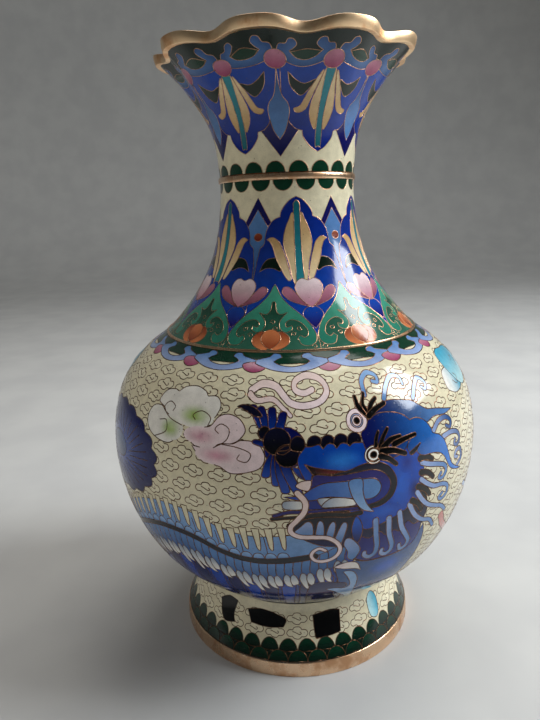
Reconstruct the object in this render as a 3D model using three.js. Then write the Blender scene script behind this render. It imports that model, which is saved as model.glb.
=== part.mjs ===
// A cloisonne vase: copper shells, gilt bands and fused enamel coats, in millimetres, +Z up.
// Origin: centre of the foot's resting face. The front of the vase faces -Y.
import * as THREE from "three";

// ---- driving dimensions -------------------------------------------------------------------
const HEIGHT = 230; // foot to the top of the rim's lobes
const FOOT_RADIUS = 49.4;
const BELLY_RADIUS = 73.2;
const NECK_RADIUS = 25.8;
const RIM_RADIUS = 45.6; // the wall under the rim band, without its lobes

// Heights of the joints between the vase's sections.
const FOOT_BAND_TOP = 5.9;
const BELLY_BASE = 25.7;
const FLOOR_HEIGHT = 22.4; // underside of the copper floor
const DISH_SLOPE = 1.3; // how the floor's edge slopes out to the belly, across over up
const BASE_RADIUS = 33; // the enamelled disc under the floor
const SHOULDER_HEIGHT = 128.7;
const SEAM_HEIGHT = BELLY_BASE + 0.6 * (SHOULDER_HEIGHT - BELLY_BASE); // brazed seam round the belly
const NECK_BAND_HEIGHT = 185.2;

// Thickness of the layers, from the outside in.
const ENAMEL = 0.9;
const COPPER = 1.1;
const LINING = 0.5;
const GAP = 0.3; // left between one piece and the next
const COPPER_INSET = ENAMEL + GAP;
const LINING_INSET = COPPER_INSET + COPPER + GAP;

// Gilt bands.
const RIM_BAND_TALL = 3.3;
const RIM_BAND_WIDE = 4.2;
const RIM_LIP = 0.75; // how far the rim band stands proud of the enamel
const NECK_BAND_TALL = 2.2;
const NECK_BAND_PROUD = 0.6;
const SHOULDER_WIRE_TALL = 0.8;
const SHOULDER_WIRE_PROUD = 0.25;
const FOOT_BAND_WIDE = 4.4;
const EDGE = 0.5; // the chamfers on the rim and foot bands

// The foliate rim.
const LOBES = 9;
const DIP_ANGLE = 8.7; // degrees from the front to the first dip, towards +X
const LOBE_REACH = 2.4; // how far a lobe swells outwards
const LOBE_RISE = 0.8; // how far a lobe rises
const LOBE_START = 200; // height where the fluting fades out

const SEGMENTS = 36; // flats round the vase, a multiple of the lobes

// ---- outlines -----------------------------------------------------------------------------
const point = (r, z) => new THREE.Vector2(r, z);

// Outer face of the wall, from the foot joint, over the belly and up the neck to the rim.
const wall = new THREE.SplineCurve([
  point(39.7, BELLY_BASE),
  point(49.6, 33.3),
  point(60.7, 44.7),
  point(68.6, 60),
  point(72.6, 76),
  point(BELLY_RADIUS, 91),
  point(70.4, 105),
  point(65, 115.4),
  point(58.2, 122.3),
  point(49.5, SHOULDER_HEIGHT),
  point(41.6, 137.1),
  point(34.8, 146.8),
  point(29.3, 158.7),
  point(26.4, 173),
  point(NECK_RADIUS, 187),
  point(28.2, 203),
  point(36.6, 217.6),
  point(RIM_RADIUS, 227.6),
]);

// Outer face of the foot, from the top of its band to the joint under the belly.
const foot = new THREE.SplineCurve([
  point(FOOT_RADIUS - 0.7, FOOT_BAND_TOP),
  point(45.7, 12.5),
  point(42.6, 19),
  point(40.4, BELLY_BASE - 0.9),
]);

// The place at a height on the line that runs inside a curve, at a distance inset from it.
function onCurve(curve, height, inset) {
  const moved = (share) => {
    const tangent = curve.getTangent(share);
    return curve.getPoint(share).add(point(-tangent.y, tangent.x).multiplyScalar(inset));
  };
  let low = 0;
  let high = 1;
  for (let i = 0; i < 30; i++) {
    const middle = (low + high) / 2;
    if (moved(middle).y < height) low = middle;
    else high = middle;
  }
  return moved(low);
}

// Points along a curve between two heights, at one inset.
function stretch(curve, from, to, inset, steps) {
  const height = (i) => from + ((to - from) * i) / steps;
  return Array.from({ length: steps + 1 }, (_, i) => onCurve(curve, height(i), inset));
}

// The closed section of a layer of a wall between two heights.
function layer(curve, from, to, inset, thick, steps) {
  const outer = stretch(curve, from, to, inset, steps);
  const inner = stretch(curve, from, to, inset + thick, steps).reverse();
  return [...outer, ...inner, outer[0].clone()];
}

// The section of a dish: a layer of the belly that runs on into a flat floor and ends on the axis.
function dish(to, inset, thick, steps, floor) {
  const outer = stretch(wall, BELLY_BASE + inset, to, inset, steps);
  const inner = stretch(wall, BELLY_BASE + inset + thick, to, inset + thick, steps).reverse();
  const turn = (start, height) => point(start.x - (start.y - height) * DISH_SLOPE, height);
  const top = floor + thick;
  return [point(0, floor), turn(outer[0], floor), ...outer, ...inner, turn(inner.at(-1), top), point(0, top)];
}

// The section of a ring with small chamfers on its four edges.
function ringSection(innerLow, outerLow, low, innerHigh, outerHigh, high, chamfer) {
  const c = chamfer;
  const section = [
    point(innerLow + c, low), point(outerLow - c, low), point(outerLow, low + c),
    point(outerHigh, high - c), point(outerHigh - c, high), point(innerHigh + c, high),
    point(innerHigh, high - c), point(innerLow, low + c),
  ];
  return [...section, section[0].clone()];
}

// ---- solids -------------------------------------------------------------------------------
const firstDip = THREE.MathUtils.degToRad(DIP_ANGLE);
const turned = (section) => new THREE.LatheGeometry(section, SEGMENTS, firstDip, Math.PI * 2);

// How much a lobe swells at an angle: 0.8 at its crown, -1.2 at the dip, which is the sharper.
function lobeAt(angle) {
  const phase = (angle - firstDip) * LOBES + Math.PI;
  return Math.cos(phase) - 0.2 * Math.cos(2 * phase);
}

// Flutes a turned solid: it swells and rises in lobes, more and more towards the rim.
function fluted(geometry) {
  const places = geometry.getAttribute("position");
  for (let i = 0; i < places.count; i++) {
    const [x, y, z] = [places.getX(i), places.getY(i), places.getZ(i)];
    const share = THREE.MathUtils.clamp((y - LOBE_START) / (HEIGHT - LOBE_START), 0, 1) ** 2;
    const swell = lobeAt(Math.atan2(x, z)) * share;
    const radius = Math.hypot(x, z);
    const grown = (radius + swell * LOBE_REACH) / radius;
    places.setXYZ(i, x * grown, y + swell * LOBE_RISE, z * grown);
  }
  geometry.computeVertexNormals();
  return geometry;
}

const copper = { color: 0xb06a44, roughness: 0.45, metalness: 1 };
const gilt = { color: 0xe0a878, roughness: 0.2, metalness: 1 };
const creamEnamel = { color: 0xe6e1c4, roughness: 0.12, metalness: 0 };
const cobaltEnamel = { color: 0x1f3a8f, roughness: 0.12, metalness: 0 };
const greenEnamel = { color: 0x1d4a38, roughness: 0.12, metalness: 0 };
const turquoiseEnamel = { color: 0x3fa3c4, roughness: 0.25, metalness: 0 };

const vase = new THREE.Group(); // the turned solids stand along +Y in here
vase.rotation.x = Math.PI / 2;

function add(name, geometry, look) {
  const mesh = new THREE.Mesh(geometry, new THREE.MeshStandardMaterial(look));
  mesh.name = name;
  vase.add(mesh);
}

// ---- foot ---------------------------------------------------------------------------------
const footBandInner = FOOT_RADIUS - FOOT_BAND_WIDE;
add("foot_band", turned(ringSection(
  footBandInner, FOOT_RADIUS, 0, footBandInner, FOOT_RADIUS - 0.5, FOOT_BAND_TOP, EDGE)), gilt);
const footFrom = FOOT_BAND_TOP + GAP;
const footTo = (inset) => BELLY_BASE - GAP - inset / 2; // the inner layers end under the belly's slope
const footLayer = (inset, thick) => turned(layer(foot, footFrom, footTo(inset), inset, thick, 2));
add("foot_enamel", footLayer(0, ENAMEL), greenEnamel);
add("foot_shell", footLayer(COPPER_INSET, COPPER), copper);
add("foot_lining", footLayer(LINING_INSET, LINING), turquoiseEnamel);
const baseTop = FLOOR_HEIGHT - GAP;
add("base_enamel", turned([
  point(0, baseTop - LINING), point(BASE_RADIUS, baseTop - LINING),
  point(BASE_RADIUS, baseTop), point(0, baseTop),
]), turquoiseEnamel);

// ---- belly --------------------------------------------------------------------------------
const wireHalf = SHOULDER_WIRE_TALL / 2;
const bellyTop = SHOULDER_HEIGHT - GAP / 2;
add("belly_enamel",
  turned(layer(wall, BELLY_BASE, SHOULDER_HEIGHT - wireHalf - GAP, 0, ENAMEL, 10)), creamEnamel);
add("belly_lower_shell", turned(dish(SEAM_HEIGHT - GAP / 2, COPPER_INSET, COPPER, 6, FLOOR_HEIGHT)), copper);
add("belly_upper_shell",
  turned(layer(wall, SEAM_HEIGHT + GAP / 2, bellyTop, COPPER_INSET, COPPER, 4)), copper);
add("belly_lining",
  turned(dish(bellyTop, LINING_INSET, LINING, 10, FLOOR_HEIGHT + COPPER + GAP)), turquoiseEnamel);

// ---- neck ---------------------------------------------------------------------------------
const bandHalf = NECK_BAND_TALL / 2;
add("shoulder_wire",
  turned(layer(wall, SHOULDER_HEIGHT - wireHalf, SHOULDER_HEIGHT + wireHalf, -SHOULDER_WIRE_PROUD,
    ENAMEL + SHOULDER_WIRE_PROUD, 1)), gilt);
const neckLayer = (from, to, inset, thick) => turned(layer(wall, from, to, inset, thick, 5));
const neckFrom = SHOULDER_HEIGHT + GAP / 2;
const neckTo = NECK_BAND_HEIGHT - GAP / 2;
add("neck_enamel", neckLayer(SHOULDER_HEIGHT + wireHalf + GAP, NECK_BAND_HEIGHT - bandHalf - GAP, 0, ENAMEL),
  creamEnamel);
add("neck_shell", neckLayer(neckFrom, neckTo, COPPER_INSET, COPPER), copper);
add("neck_lining", neckLayer(neckFrom, neckTo, LINING_INSET, LINING), turquoiseEnamel);

// ---- mouth --------------------------------------------------------------------------------
const rimLow = HEIGHT - 0.8 * LOBE_RISE - RIM_BAND_TALL; // a crown lifts the band by 0.8 of LOBE_RISE
const mouthFrom = NECK_BAND_HEIGHT + GAP / 2;
const mouthLayer = (from, inset, thick) => fluted(turned(layer(wall, from, rimLow - GAP, inset, thick, 5)));
add("neck_band",
  turned(layer(wall, NECK_BAND_HEIGHT - bandHalf, NECK_BAND_HEIGHT + bandHalf, -NECK_BAND_PROUD,
    ENAMEL + NECK_BAND_PROUD, 2)), gilt);
add("mouth_enamel", mouthLayer(NECK_BAND_HEIGHT + bandHalf + GAP, 0, ENAMEL), cobaltEnamel);
add("mouth_shell", mouthLayer(mouthFrom, COPPER_INSET, COPPER), copper);
add("mouth_lining", mouthLayer(mouthFrom, LINING_INSET, LINING), turquoiseEnamel);
const rimOuter = RIM_RADIUS + RIM_LIP;
const rimInner = rimOuter - RIM_BAND_WIDE;
add("rim_band", fluted(turned(ringSection(
  rimInner, rimOuter - 0.4, rimLow, rimInner + 0.6, rimOuter, rimLow + RIM_BAND_TALL, EDGE))), gilt);

const part = new THREE.Group();
part.add(vase);

export default part;
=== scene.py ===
"""A cloisonne vase: gilt bands, turned copper, and enamel cells between gilt wires.

Lengths are in millimetres and angles in degrees from the front (-Y) towards +X, until a mesh is made.
"""
import math
import random

import bmesh
import bpy
import numpy as np
from mathutils import Matrix, Vector
from mathutils.geometry import delaunay_2d_cdt


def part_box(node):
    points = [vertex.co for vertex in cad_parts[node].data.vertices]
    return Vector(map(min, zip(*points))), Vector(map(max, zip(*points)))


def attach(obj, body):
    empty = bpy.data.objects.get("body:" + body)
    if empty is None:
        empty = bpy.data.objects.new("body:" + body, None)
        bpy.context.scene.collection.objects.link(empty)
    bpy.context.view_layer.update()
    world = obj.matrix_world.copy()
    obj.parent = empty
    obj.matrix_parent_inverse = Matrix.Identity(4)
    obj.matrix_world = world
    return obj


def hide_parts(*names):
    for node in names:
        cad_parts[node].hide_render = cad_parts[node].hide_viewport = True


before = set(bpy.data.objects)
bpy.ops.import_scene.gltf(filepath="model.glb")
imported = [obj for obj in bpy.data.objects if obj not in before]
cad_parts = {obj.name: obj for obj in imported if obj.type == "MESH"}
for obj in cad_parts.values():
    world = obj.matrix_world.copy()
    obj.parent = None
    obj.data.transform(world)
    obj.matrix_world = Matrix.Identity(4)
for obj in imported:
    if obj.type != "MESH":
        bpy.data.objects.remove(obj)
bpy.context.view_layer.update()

MM = 0.001
DRAW = random.Random(7)

# ---- the vase's outline, as the solids were turned ------------------------------------------
WALL = [(39.7, 25.7), (49.6, 33.3), (60.7, 44.7), (68.6, 60), (72.6, 76), (73.2, 91), (70.4, 105),
        (65, 115.4), (58.2, 122.3), (49.5, 128.7), (41.6, 137.1), (34.8, 146.8), (29.3, 158.7),
        (26.4, 173), (25.8, 187), (28.2, 203), (36.6, 217.6), (45.6, 227.6)]
FOOT = [(48.7, 5.9), (45.7, 12.5), (42.6, 19), (40.4, 24.8)]
ENAMEL = 0.9  # thickness of the coat
COPPER = 1.1  # thickness of the raised copper
LINING = 0.5  # thickness of the counter-enamel inside
LAP = 0.02  # layers that touch in the finished vase stand this far apart
COPPER_INSET = ENAMEL + LAP
LINING_INSET = COPPER_INSET + COPPER + LAP
LOBES = 9  # of the mouth
DIP_ANGLE = 8.7  # where one of the dips between them is
LOBE_REACH = 2.4
LOBE_RISE = 0.8
LOBE_START = 200  # the height at which the wall begins to swell
LOBE_END = 230
WIRE_PROUD = 0.05  # how far a wire's crest stands out of the glass
WIRE_SUNK = 0.04  # how far its feet lie in it
EDGE_GAP = 0.4  # from the middle of the shoulder wire to the edge of the coats beside it
NECK_TUCK = 0.28  # how far the neck's coat runs past the CAD's, towards the gilt band


def span(node):
    """The lowest and highest millimetre of a CAD node."""
    low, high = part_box(node)
    return low[2] / MM, high[2] / MM


FOOT_BAND_TOP = span("foot_band")[1]
SHOULDER = sum(span("shoulder_wire")) / 2
NECK_BAND = sum(span("neck_band")) / 2
BELLY_BASE = span("belly_enamel")[0]
FLOOR = span("belly_lower_shell")[0]
SEAM = span("belly_lower_shell")[1]
RIM_TALL = 3.3
RIM_LOW = LOBE_END - 0.8 * LOBE_RISE - RIM_TALL
RIM_OUTER = 46.35
RIM_WIDE = 4.2


# ---- curves ---------------------------------------------------------------------------------
def through(points, steps=6, closed=False):
    """A smooth curve through points; a point with a third value is a corner."""
    points = list(points)
    count = len(points)
    corners = [i for i, point in enumerate(points) if len(point) > 2]
    flat = [np.array(point[:2], float) for point in points]
    if closed and corners:
        flat = flat[corners[0]:] + flat[:corners[0]] + [flat[corners[0]]]
        corners = sorted((i - corners[0]) % count for i in corners) + [count]
    elif closed:
        flat = [flat[-1]] + flat + flat[:2]
        return np.array([catmull(flat[i:i + 4], j / steps) for i in range(count) for j in range(steps)])
    else:
        corners = sorted({0, count - 1, *corners})
    line = []
    for first, last in zip(corners, corners[1:]):
        run = flat[first:last + 1]
        run = [2 * run[0] - run[1]] + run + [2 * run[-1] - run[-2]]
        line += [catmull(run[i:i + 4], j / steps) for i in range(len(run) - 3) for j in range(steps)]
    return np.array(line if closed else line + [flat[-1]])


def catmull(four, share):
    """The point a share of the way from the second to the third of four, on a smooth curve."""
    a, b, c, d = four
    return b + 0.5 * share * (c - a + share * (2 * a - 5 * b + 4 * c - d + share * (3 * (b - c) + d - a)))


def oval(x, z, wide, tall, steps=20):
    """An oval's outline from its centre and half its width and height."""
    turn = np.linspace(0, 2 * np.pi, steps, endpoint=False)
    return np.stack([x + wide * np.cos(turn), z + tall * np.sin(turn)], 1)


def mirrored(half):
    """Closes a symmetrical outline from its right half, which runs from the top to the bottom."""
    left = [(-point[0], *point[1:]) for point in reversed(half) if abs(point[0]) > 1e-6]
    return list(half) + left


class Outline:
    """Radius and outward normal of a turned wall at a height."""

    def __init__(self, points):
        """points are (radius, height), from the foot of the wall up."""
        samples = through(points, 60)
        slope = np.gradient(samples, axis=0)
        slope /= np.linalg.norm(slope, axis=1)[:, None]
        self.heights, self.radii, self.slope = samples[:, 1], samples[:, 0], slope
        self.lengths = np.concatenate([[0], np.cumsum(np.linalg.norm(np.diff(samples, axis=0), axis=1))])

    def at(self, z, inset=0.0):
        """The point that lies inset inside the wall, square to it at height z, as (radius, height)."""
        radius = np.interp(z, self.heights, self.radii)
        across = np.interp(z, self.heights, self.slope[:, 1])
        along = -np.interp(z, self.heights, self.slope[:, 0])
        return np.stack([radius - inset * across, z - inset * along], -1)

    def height_at(self, length):
        """The height at a length along the wall from its foot."""
        return np.interp(length, self.lengths, self.heights)

    def length_at(self, z):
        """The length along the wall from its foot up to a height."""
        return np.interp(z, self.heights, self.lengths)


wall = Outline(WALL)
foot = Outline(FOOT)


def lobe(degrees):
    """The swell of the mouth's lobes, with broad crests and narrower dips."""
    phase = np.radians((degrees - DIP_ANGLE) * LOBES) + np.pi
    return np.cos(phase) - 0.2 * np.cos(2 * phase)


def fluted(degrees, radius, z):
    """Swells and lifts a turned point with the mouth's lobes."""
    share = np.clip((z - LOBE_START) / (LOBE_END - LOBE_START), 0, 1) ** 2
    swell = lobe(degrees) * share
    return radius + swell * LOBE_REACH, z + swell * LOBE_RISE


def on_wall(outline, degrees, z, lift=0.0):
    """Places on a wall, in metres."""
    across = outline.at(z, -lift)
    radius, height = fluted(degrees, across[..., 0], across[..., 1])
    turn = np.radians(degrees)
    return np.stack([radius * np.sin(turn), -radius * np.cos(turn), height], -1) * MM


def normals_on(outline, degrees, z):
    """The wall's outward normals, lobes and all."""
    step = 0.05
    east = on_wall(outline, degrees + step, z) - on_wall(outline, degrees - step, z)
    north = on_wall(outline, degrees, z + step) - on_wall(outline, degrees, z - step)
    normal = np.cross(east, north)
    return normal / np.linalg.norm(normal, axis=-1)[..., None]


# ---- pieces turned by spinning a section ----------------------------------------------------
def finish(piece, nodes, material):
    """Makes a piece part of the vase: gives it its body and its finish, and hides the nodes it stands for."""
    piece.data.materials.clear()
    piece.data.materials.append(material)
    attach(piece, "root")
    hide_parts(*nodes)
    return piece


def spin(name, section, steps=128, round_edges=0.0, flutes=False):
    """Turns a section, given as (radius, height), round the axis; one that leaves the axis is closed."""
    bpy.ops.object.select_all(action="DESELECT")
    bpy.ops.mesh.primitive_plane_add(size=MM)
    piece = bpy.context.object
    piece.name = piece.data.name = name
    bpy.ops.object.mode_set(mode="EDIT")
    bpy.ops.mesh.merge(type="CENTER")
    steps_along = np.diff(np.array([(0, 0), *section], float), axis=0) * MM
    bpy.ops.transform.translate(value=(steps_along[0][0], 0, steps_along[0][1]))
    for across, up in steps_along[1:]:
        bpy.ops.mesh.extrude_region_move(TRANSFORM_OT_translate={"value": (across, 0, up)})
    if section[0][0] > 0:
        mesh = bmesh.from_edit_mesh(piece.data)
        ends = [vertex for vertex in mesh.verts if len(vertex.link_edges) == 1]
        mesh.edges.new(ends)
        bmesh.update_edit_mesh(piece.data)
    bpy.ops.mesh.select_all(action="SELECT")
    bpy.ops.mesh.spin(steps=steps, angle=2 * math.pi, center=(0, 0, 0), axis=(0, 0, 1))
    bpy.ops.mesh.select_all(action="SELECT")
    bpy.ops.mesh.remove_doubles(threshold=1e-6)
    bpy.ops.mesh.normals_make_consistent(inside=False)
    bpy.ops.object.mode_set(mode="OBJECT")
    if round_edges:
        bevel = piece.modifiers.new("soft edges", "BEVEL")
        bevel.width = round_edges * MM
        bevel.segments = 3
        bevel.limit_method = "ANGLE"
        bevel.angle_limit = math.radians(35)
        bpy.ops.object.modifier_apply(modifier=bevel.name)
    if flutes:
        for vertex in piece.data.vertices:
            x, y, z = vertex.co / MM
            radius = math.hypot(x, y)
            grown, height = fluted(math.degrees(math.atan2(x, -y)), radius, z)
            vertex.co = Vector((x * grown / radius, y * grown / radius, height)) * MM
    bpy.ops.object.shade_smooth_by_angle(angle=math.radians(40))
    piece.data.transform(piece.matrix_world)
    piece.matrix_world = Matrix.Identity(4)
    return piece


def layer(outline, low, high, inset, thick, pitch=3.0):
    """The section of one layer of a wall."""
    steps = max(2, round((outline.length_at(high) - outline.length_at(low)) / pitch))
    lengths = np.linspace(outline.length_at(low), outline.length_at(high), steps + 1)
    heights = outline.height_at(lengths)
    outer = outline.at(heights, inset)
    inner = outline.at(heights, inset + thick)[::-1]
    return [tuple(point) for point in np.concatenate([outer, inner])]


def dish(low, high, inset, thick, floor, turn_in):
    """The section of a layer of the belly that runs on into a flat floor."""
    section = layer(wall, low, high, inset, thick)
    half = len(section) // 2
    return [(0, floor), (turn_in, floor), *section[:half], *section[half:],
            (turn_in - thick / 2, floor + thick), (0, floor + thick)]


# ---- enamel colours -------------------------------------------------------------------------
ENAMELS = {"cream": "dcd3b4", "cream light": "e3dbbe", "blush": "e6cec6", "white": "ebe8e0",
           "rose": "b8798e", "rose pale": "ecd8da", "rose soft": "d39cac", "magenta": "9c3f66",
           "apple": "93b34a", "sky": "5580b6", "sky pale": "8fb2dc", "lavender": "93a6cf",
           "turquoise": "3a9dba", "turquoise pale": "b4dadd", "teal": "17636f", "teal light": "2c8793",
           "royal": "1858bc", "royal light": "2f7ad0", "cobalt": "0c42a2", "cobalt deep": "08237a",
           "navy": "080e50", "midnight": "090b24", "violet": "1d1464", "black": "050608",
           "bottle": "0b3524", "bottle deep": "081c14", "jade": "479f84", "jade deep": "2a7862",
           "ochre": "c49f6c", "ochre pale": "ead2a6", "orange": "cf7b4c", "fir": "2f6350",
           "orange deep": "8e4326", "red": "6e1f1a", "grey": "98a4b4", "coral": "bd7268",
           "coral pale": "dba89c", "denim": "2c5086", "slate": "2a3c6c", "plum": "84495c"}


def linear(code):
    """A colour's linear red, green and blue from its six digits."""
    values = [int(code[i:i + 2], 16) / 255 for i in (0, 2, 4)]
    return [v / 12.92 if v <= 0.04045 else ((v + 0.055) / 1.055) ** 2.4 for v in values]


WAYS = ("flat", "up", "across", "out")


# ---- enamel cells and cloison wires ---------------------------------------------------------
def inside(points, outline):
    """The indices of the points that lie inside a closed outline."""
    near = np.all((points > outline.min(axis=0)) & (points < outline.max(axis=0)), axis=1)
    near = np.flatnonzero(near)
    x, y = points[near, 0][:, None], points[near, 1][:, None]
    x0, y0 = outline[:, 0], outline[:, 1]
    x1, y1 = np.roll(x0, -1), np.roll(y0, -1)
    rise = np.where(y1 == y0, 1, y1 - y0)
    crossed = ((y0 > y) != (y1 > y)) & (x < x0 + (x1 - x0) * (y - y0) / rise)
    return near[crossed.sum(axis=1) % 2 == 1]


class Pattern:
    """Cells and wires on a turned band of wall. Each cell covers what was laid before it."""

    def __init__(self, outline, low, high, ground, pitch=2.6):
        """The band runs from low to high; ground is the fill behind everything else."""
        self.outline, self.low, self.high = outline, low, high
        middle = outline.at(np.linspace(low, high, 20))[:, 0].mean()
        self.degree = math.radians(middle)  # millimetres to a degree, on average
        self.outlines, self.fills, self.wired, self.lines = [], [], [], []
        rings = max(3, round((outline.length_at(high) - outline.length_at(low)) / pitch))
        around = round(360 * self.degree / pitch)
        lengths = np.linspace(outline.length_at(low), outline.length_at(high), rings + 1)
        heights = outline.height_at(lengths)
        heights[0], heights[-1] = low, high
        turns = np.linspace(-180, 180, around + 1)
        edge = [(t, low) for t in turns[:-1]] + [(180, z) for z in heights[:-1]]
        edge += [(t, high) for t in turns[:0:-1]] + [(-180, z) for z in heights[:0:-1]]
        self.cell(np.array(edge), ground, wired=False, wrap=False)
        half = (turns[1] - turns[0]) / 2
        self.grid = [(t + half * (row % 2), z) for row, z in enumerate(heights[1:-1]) for t in turns[1:-1]]

    def per_degree(self, z):
        """Millimetres to a degree at a height."""
        return np.radians(self.outline.at(z)[..., 0])

    def cell(self, points, fill, wired=True, wrap=True):
        """Lays a closed outline of (degrees, height). fill is a colour, or two and the way they blend."""
        points = np.asarray(points, float)
        area = np.sum(points[:, 0] * np.roll(points[:, 1], -1) - np.roll(points[:, 0], -1) * points[:, 1])
        if area < 0:
            points = points[::-1]
        if wrap:
            points = points - [360 * round(points[:, 0].mean() / 360), 0]
        self.outlines.append(points)
        self.fills.append(fill)
        self.wired.append(wired)
        if wrap and points[:, 0].max() > 180:
            self.cell(points - [360, 0], fill, wired, wrap=False)
        elif wrap and points[:, 0].min() < -180:
            self.cell(points + [360, 0], fill, wired, wrap=False)

    def shape(self, outline, fill, steps=5, at=(0, 0)):
        """Lays a smooth cell whose outline starts from a place on the wall."""
        self.cell(through(outline, steps, closed=True) + list(at), fill)

    def wire(self, points):
        """Lays an open wire; cells laid later cover it."""
        points = np.asarray(points, float)
        points = points - [360 * round(points[:, 0].mean() / 360), 0]
        self.lines.append((points, len(self.outlines)))
        if points[:, 0].max() > 180:
            self.lines.append((points - [360, 0], len(self.outlines)))
        elif points[:, 0].min() < -180:
            self.lines.append((points + [360, 0], len(self.outlines)))

    def at(self, points, turn, height, scale=1.0, tilt=0.0):
        """Millimetres round a place on the wall, as (degrees, height)."""
        points = np.array([point[:2] for point in points], float) * scale
        cosine, sine = math.cos(math.radians(tilt)), math.sin(math.radians(tilt))
        x = points[:, 0] * cosine - points[:, 1] * sine
        y = points[:, 0] * sine + points[:, 1] * cosine
        z = self.outline.height_at(self.outline.length_at(height) + y)
        return np.stack([turn + x / self.per_degree(height), z], 1)

    def band(self, path, wide, steps=6, tip=1.0):
        """The outline of a band of a width along a path of (degrees, height); tip thins its far end."""
        line = through(path, steps)
        scale = np.stack([self.per_degree(line[:, 1]), np.ones(len(line))], 1)
        flat = line * scale.mean(axis=0)
        along = np.gradient(flat, axis=0)
        along /= np.linalg.norm(along, axis=1)[:, None]
        side = np.stack([-along[:, 1], along[:, 0]], 1)
        half = wide / 2 * np.linspace(1, tip, len(line))[:, None]
        left, right = flat + side * half, flat - side * half
        ends = []
        for centre, ahead, across, reach in ((flat[-1], along[-1], side[-1], half[-1]),
                                             (flat[0], -along[0], -side[0], half[0])):
            turns = np.linspace(np.pi / 2, -np.pi / 2, 7)[1:-1]
            ends.append([centre + reach * (across * math.sin(t) + ahead * math.cos(t)) for t in turns])
        outline = [*left, *ends[0], *right[::-1], *ends[1]]
        return np.array(outline) / scale.mean(axis=0)

    def solve(self):
        """Cuts the band into triangles, and finds the topmost cell of each and the edges with a wire."""
        scale = np.array([self.degree, 1.0])
        points, faces, edges, layers = [], [], [], []
        for outline in self.outlines:
            faces.append(list(range(len(points), len(points) + len(outline))))
            points += [tuple(point) for point in outline * scale]
        for line, layer_of in self.lines:
            first = len(points)
            points += [tuple(point) for point in line * scale]
            edges += [(first + i, first + i + 1) for i in range(len(line) - 1)]
            layers += [layer_of] * (len(line) - 1)
        points += [tuple(point) for point in np.array(self.grid) * scale]
        cut = delaunay_2d_cdt([Vector(point) for point in points], edges, faces, 0, 1e-3)
        places = np.array([tuple(v) for v in cut[0]]) / scale
        triangles = np.array([face for face in cut[2]])
        middles = places[triangles].mean(axis=1)
        tops = np.full(len(triangles), -1)
        for index, outline in enumerate(self.outlines):
            tops[inside(middles, outline)] = index
        on_band = (np.abs(middles[:, 0]) < 180) & (middles[:, 1] > self.low) & (middles[:, 1] < self.high)
        triangles, tops = triangles[on_band & (tops >= 0)], tops[on_band & (tops >= 0)]
        laid = {}
        for edge, sources in zip(cut[1], cut[4]):
            own = [layers[i] for i in sources if i < len(edges)]
            if own:
                laid[tuple(sorted(edge))] = max(own)
        sides = {}
        for index, triangle in enumerate(triangles):
            for i in range(3):
                a, b = int(triangle[i]), int(triangle[(i + 1) % 3])
                sides.setdefault((a, b) if a < b else (b, a), []).append(int(tops[index]))
        wires = []
        for edge, cells in sides.items():
            if len(cells) < 2:
                continue
            if cells[0] != cells[1] and self.wired[max(cells)]:
                wires.append(edge)
            elif edge in laid and laid[edge] > max(cells):
                wires.append(edge)
        return places, triangles, tops, wires

    def colours(self, places, tops):
        """The linear colour of each corner, from its cell's fill."""
        count = len(self.outlines)
        first, second = np.zeros((count, 3)), np.zeros((count, 3))
        way = np.zeros(count, int)
        low, high = np.zeros((count, 2)), np.zeros((count, 2))
        for i, (outline, fill) in enumerate(zip(self.outlines, self.fills)):
            names = (fill, fill, "flat") if isinstance(fill, str) else fill
            first[i], second[i] = linear(ENAMELS[names[0]]), linear(ENAMELS[names[1]])
            way[i] = WAYS.index(names[2])
            low[i], high[i] = outline.min(axis=0), outline.max(axis=0)
        low, high, way = low[tops], high[tops], way[tops]
        share = (places - low) / np.maximum(high - low, 1e-6)
        radial = np.linalg.norm(share * 2 - 1, axis=-1)
        mix = np.select([way == 1, way == 2, way == 3], [share[:, 1], share[:, 0], radial], 0.0)
        mix = np.clip(mix, 0, 1)
        mix = (mix * mix * (3 - 2 * mix))[:, None]
        return first[tops] * (1 - mix) + second[tops] * mix


def halves(solved):
    """A finely cut band as its front and its back, so that neither piece has too many faces."""
    places, triangles, tops, wires = solved
    ahead = np.abs(places[triangles, 0].mean(axis=1)) < 90
    near = [edge for edge in wires if np.abs(places[list(edge), 0]).mean() < 90]
    far = [edge for edge in wires if np.abs(places[list(edge), 0]).mean() >= 90]
    return {"belly_front": (places, triangles[ahead], tops[ahead], near),
            "belly_back": (places, triangles[~ahead], tops[~ahead], far)}


def chains(edges):
    """Joins edges into runs of points that stop where three or more meet."""
    near = {}
    for a, b in edges:
        near.setdefault(a, []).append(b)
        near.setdefault(b, []).append(a)
    used = set()
    runs = []

    def walk(start, after):
        """Follows the edges on from two points to the next junction, or round a loop."""
        run = [start, after]
        used.add((min(start, after), max(start, after)))
        while len(near[run[-1]]) == 2:
            onward = near[run[-1]][0] if near[run[-1]][0] != run[-2] else near[run[-1]][1]
            key = (min(run[-1], onward), max(run[-1], onward))
            if key in used:
                break
            used.add(key)
            run.append(onward)
        return run

    for start in near:
        if len(near[start]) != 2:
            for after in near[start]:
                if (min(start, after), max(start, after)) not in used:
                    runs.append(walk(start, after))
    for start in near:
        for after in near[start]:
            if (min(start, after), max(start, after)) not in used:
                runs.append(walk(start, after))
    return runs


def mesh_piece(name, points, faces):
    """A smooth-shaded object from its points, in metres, and its faces."""
    mesh = bpy.data.meshes.new(name)
    mesh.from_pydata([tuple(point) for point in points], [], faces)
    mesh.polygons.foreach_set("use_smooth", [True] * len(mesh.polygons))
    piece = bpy.data.objects.new(name, mesh)
    bpy.context.scene.collection.objects.link(piece)
    return piece


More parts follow.
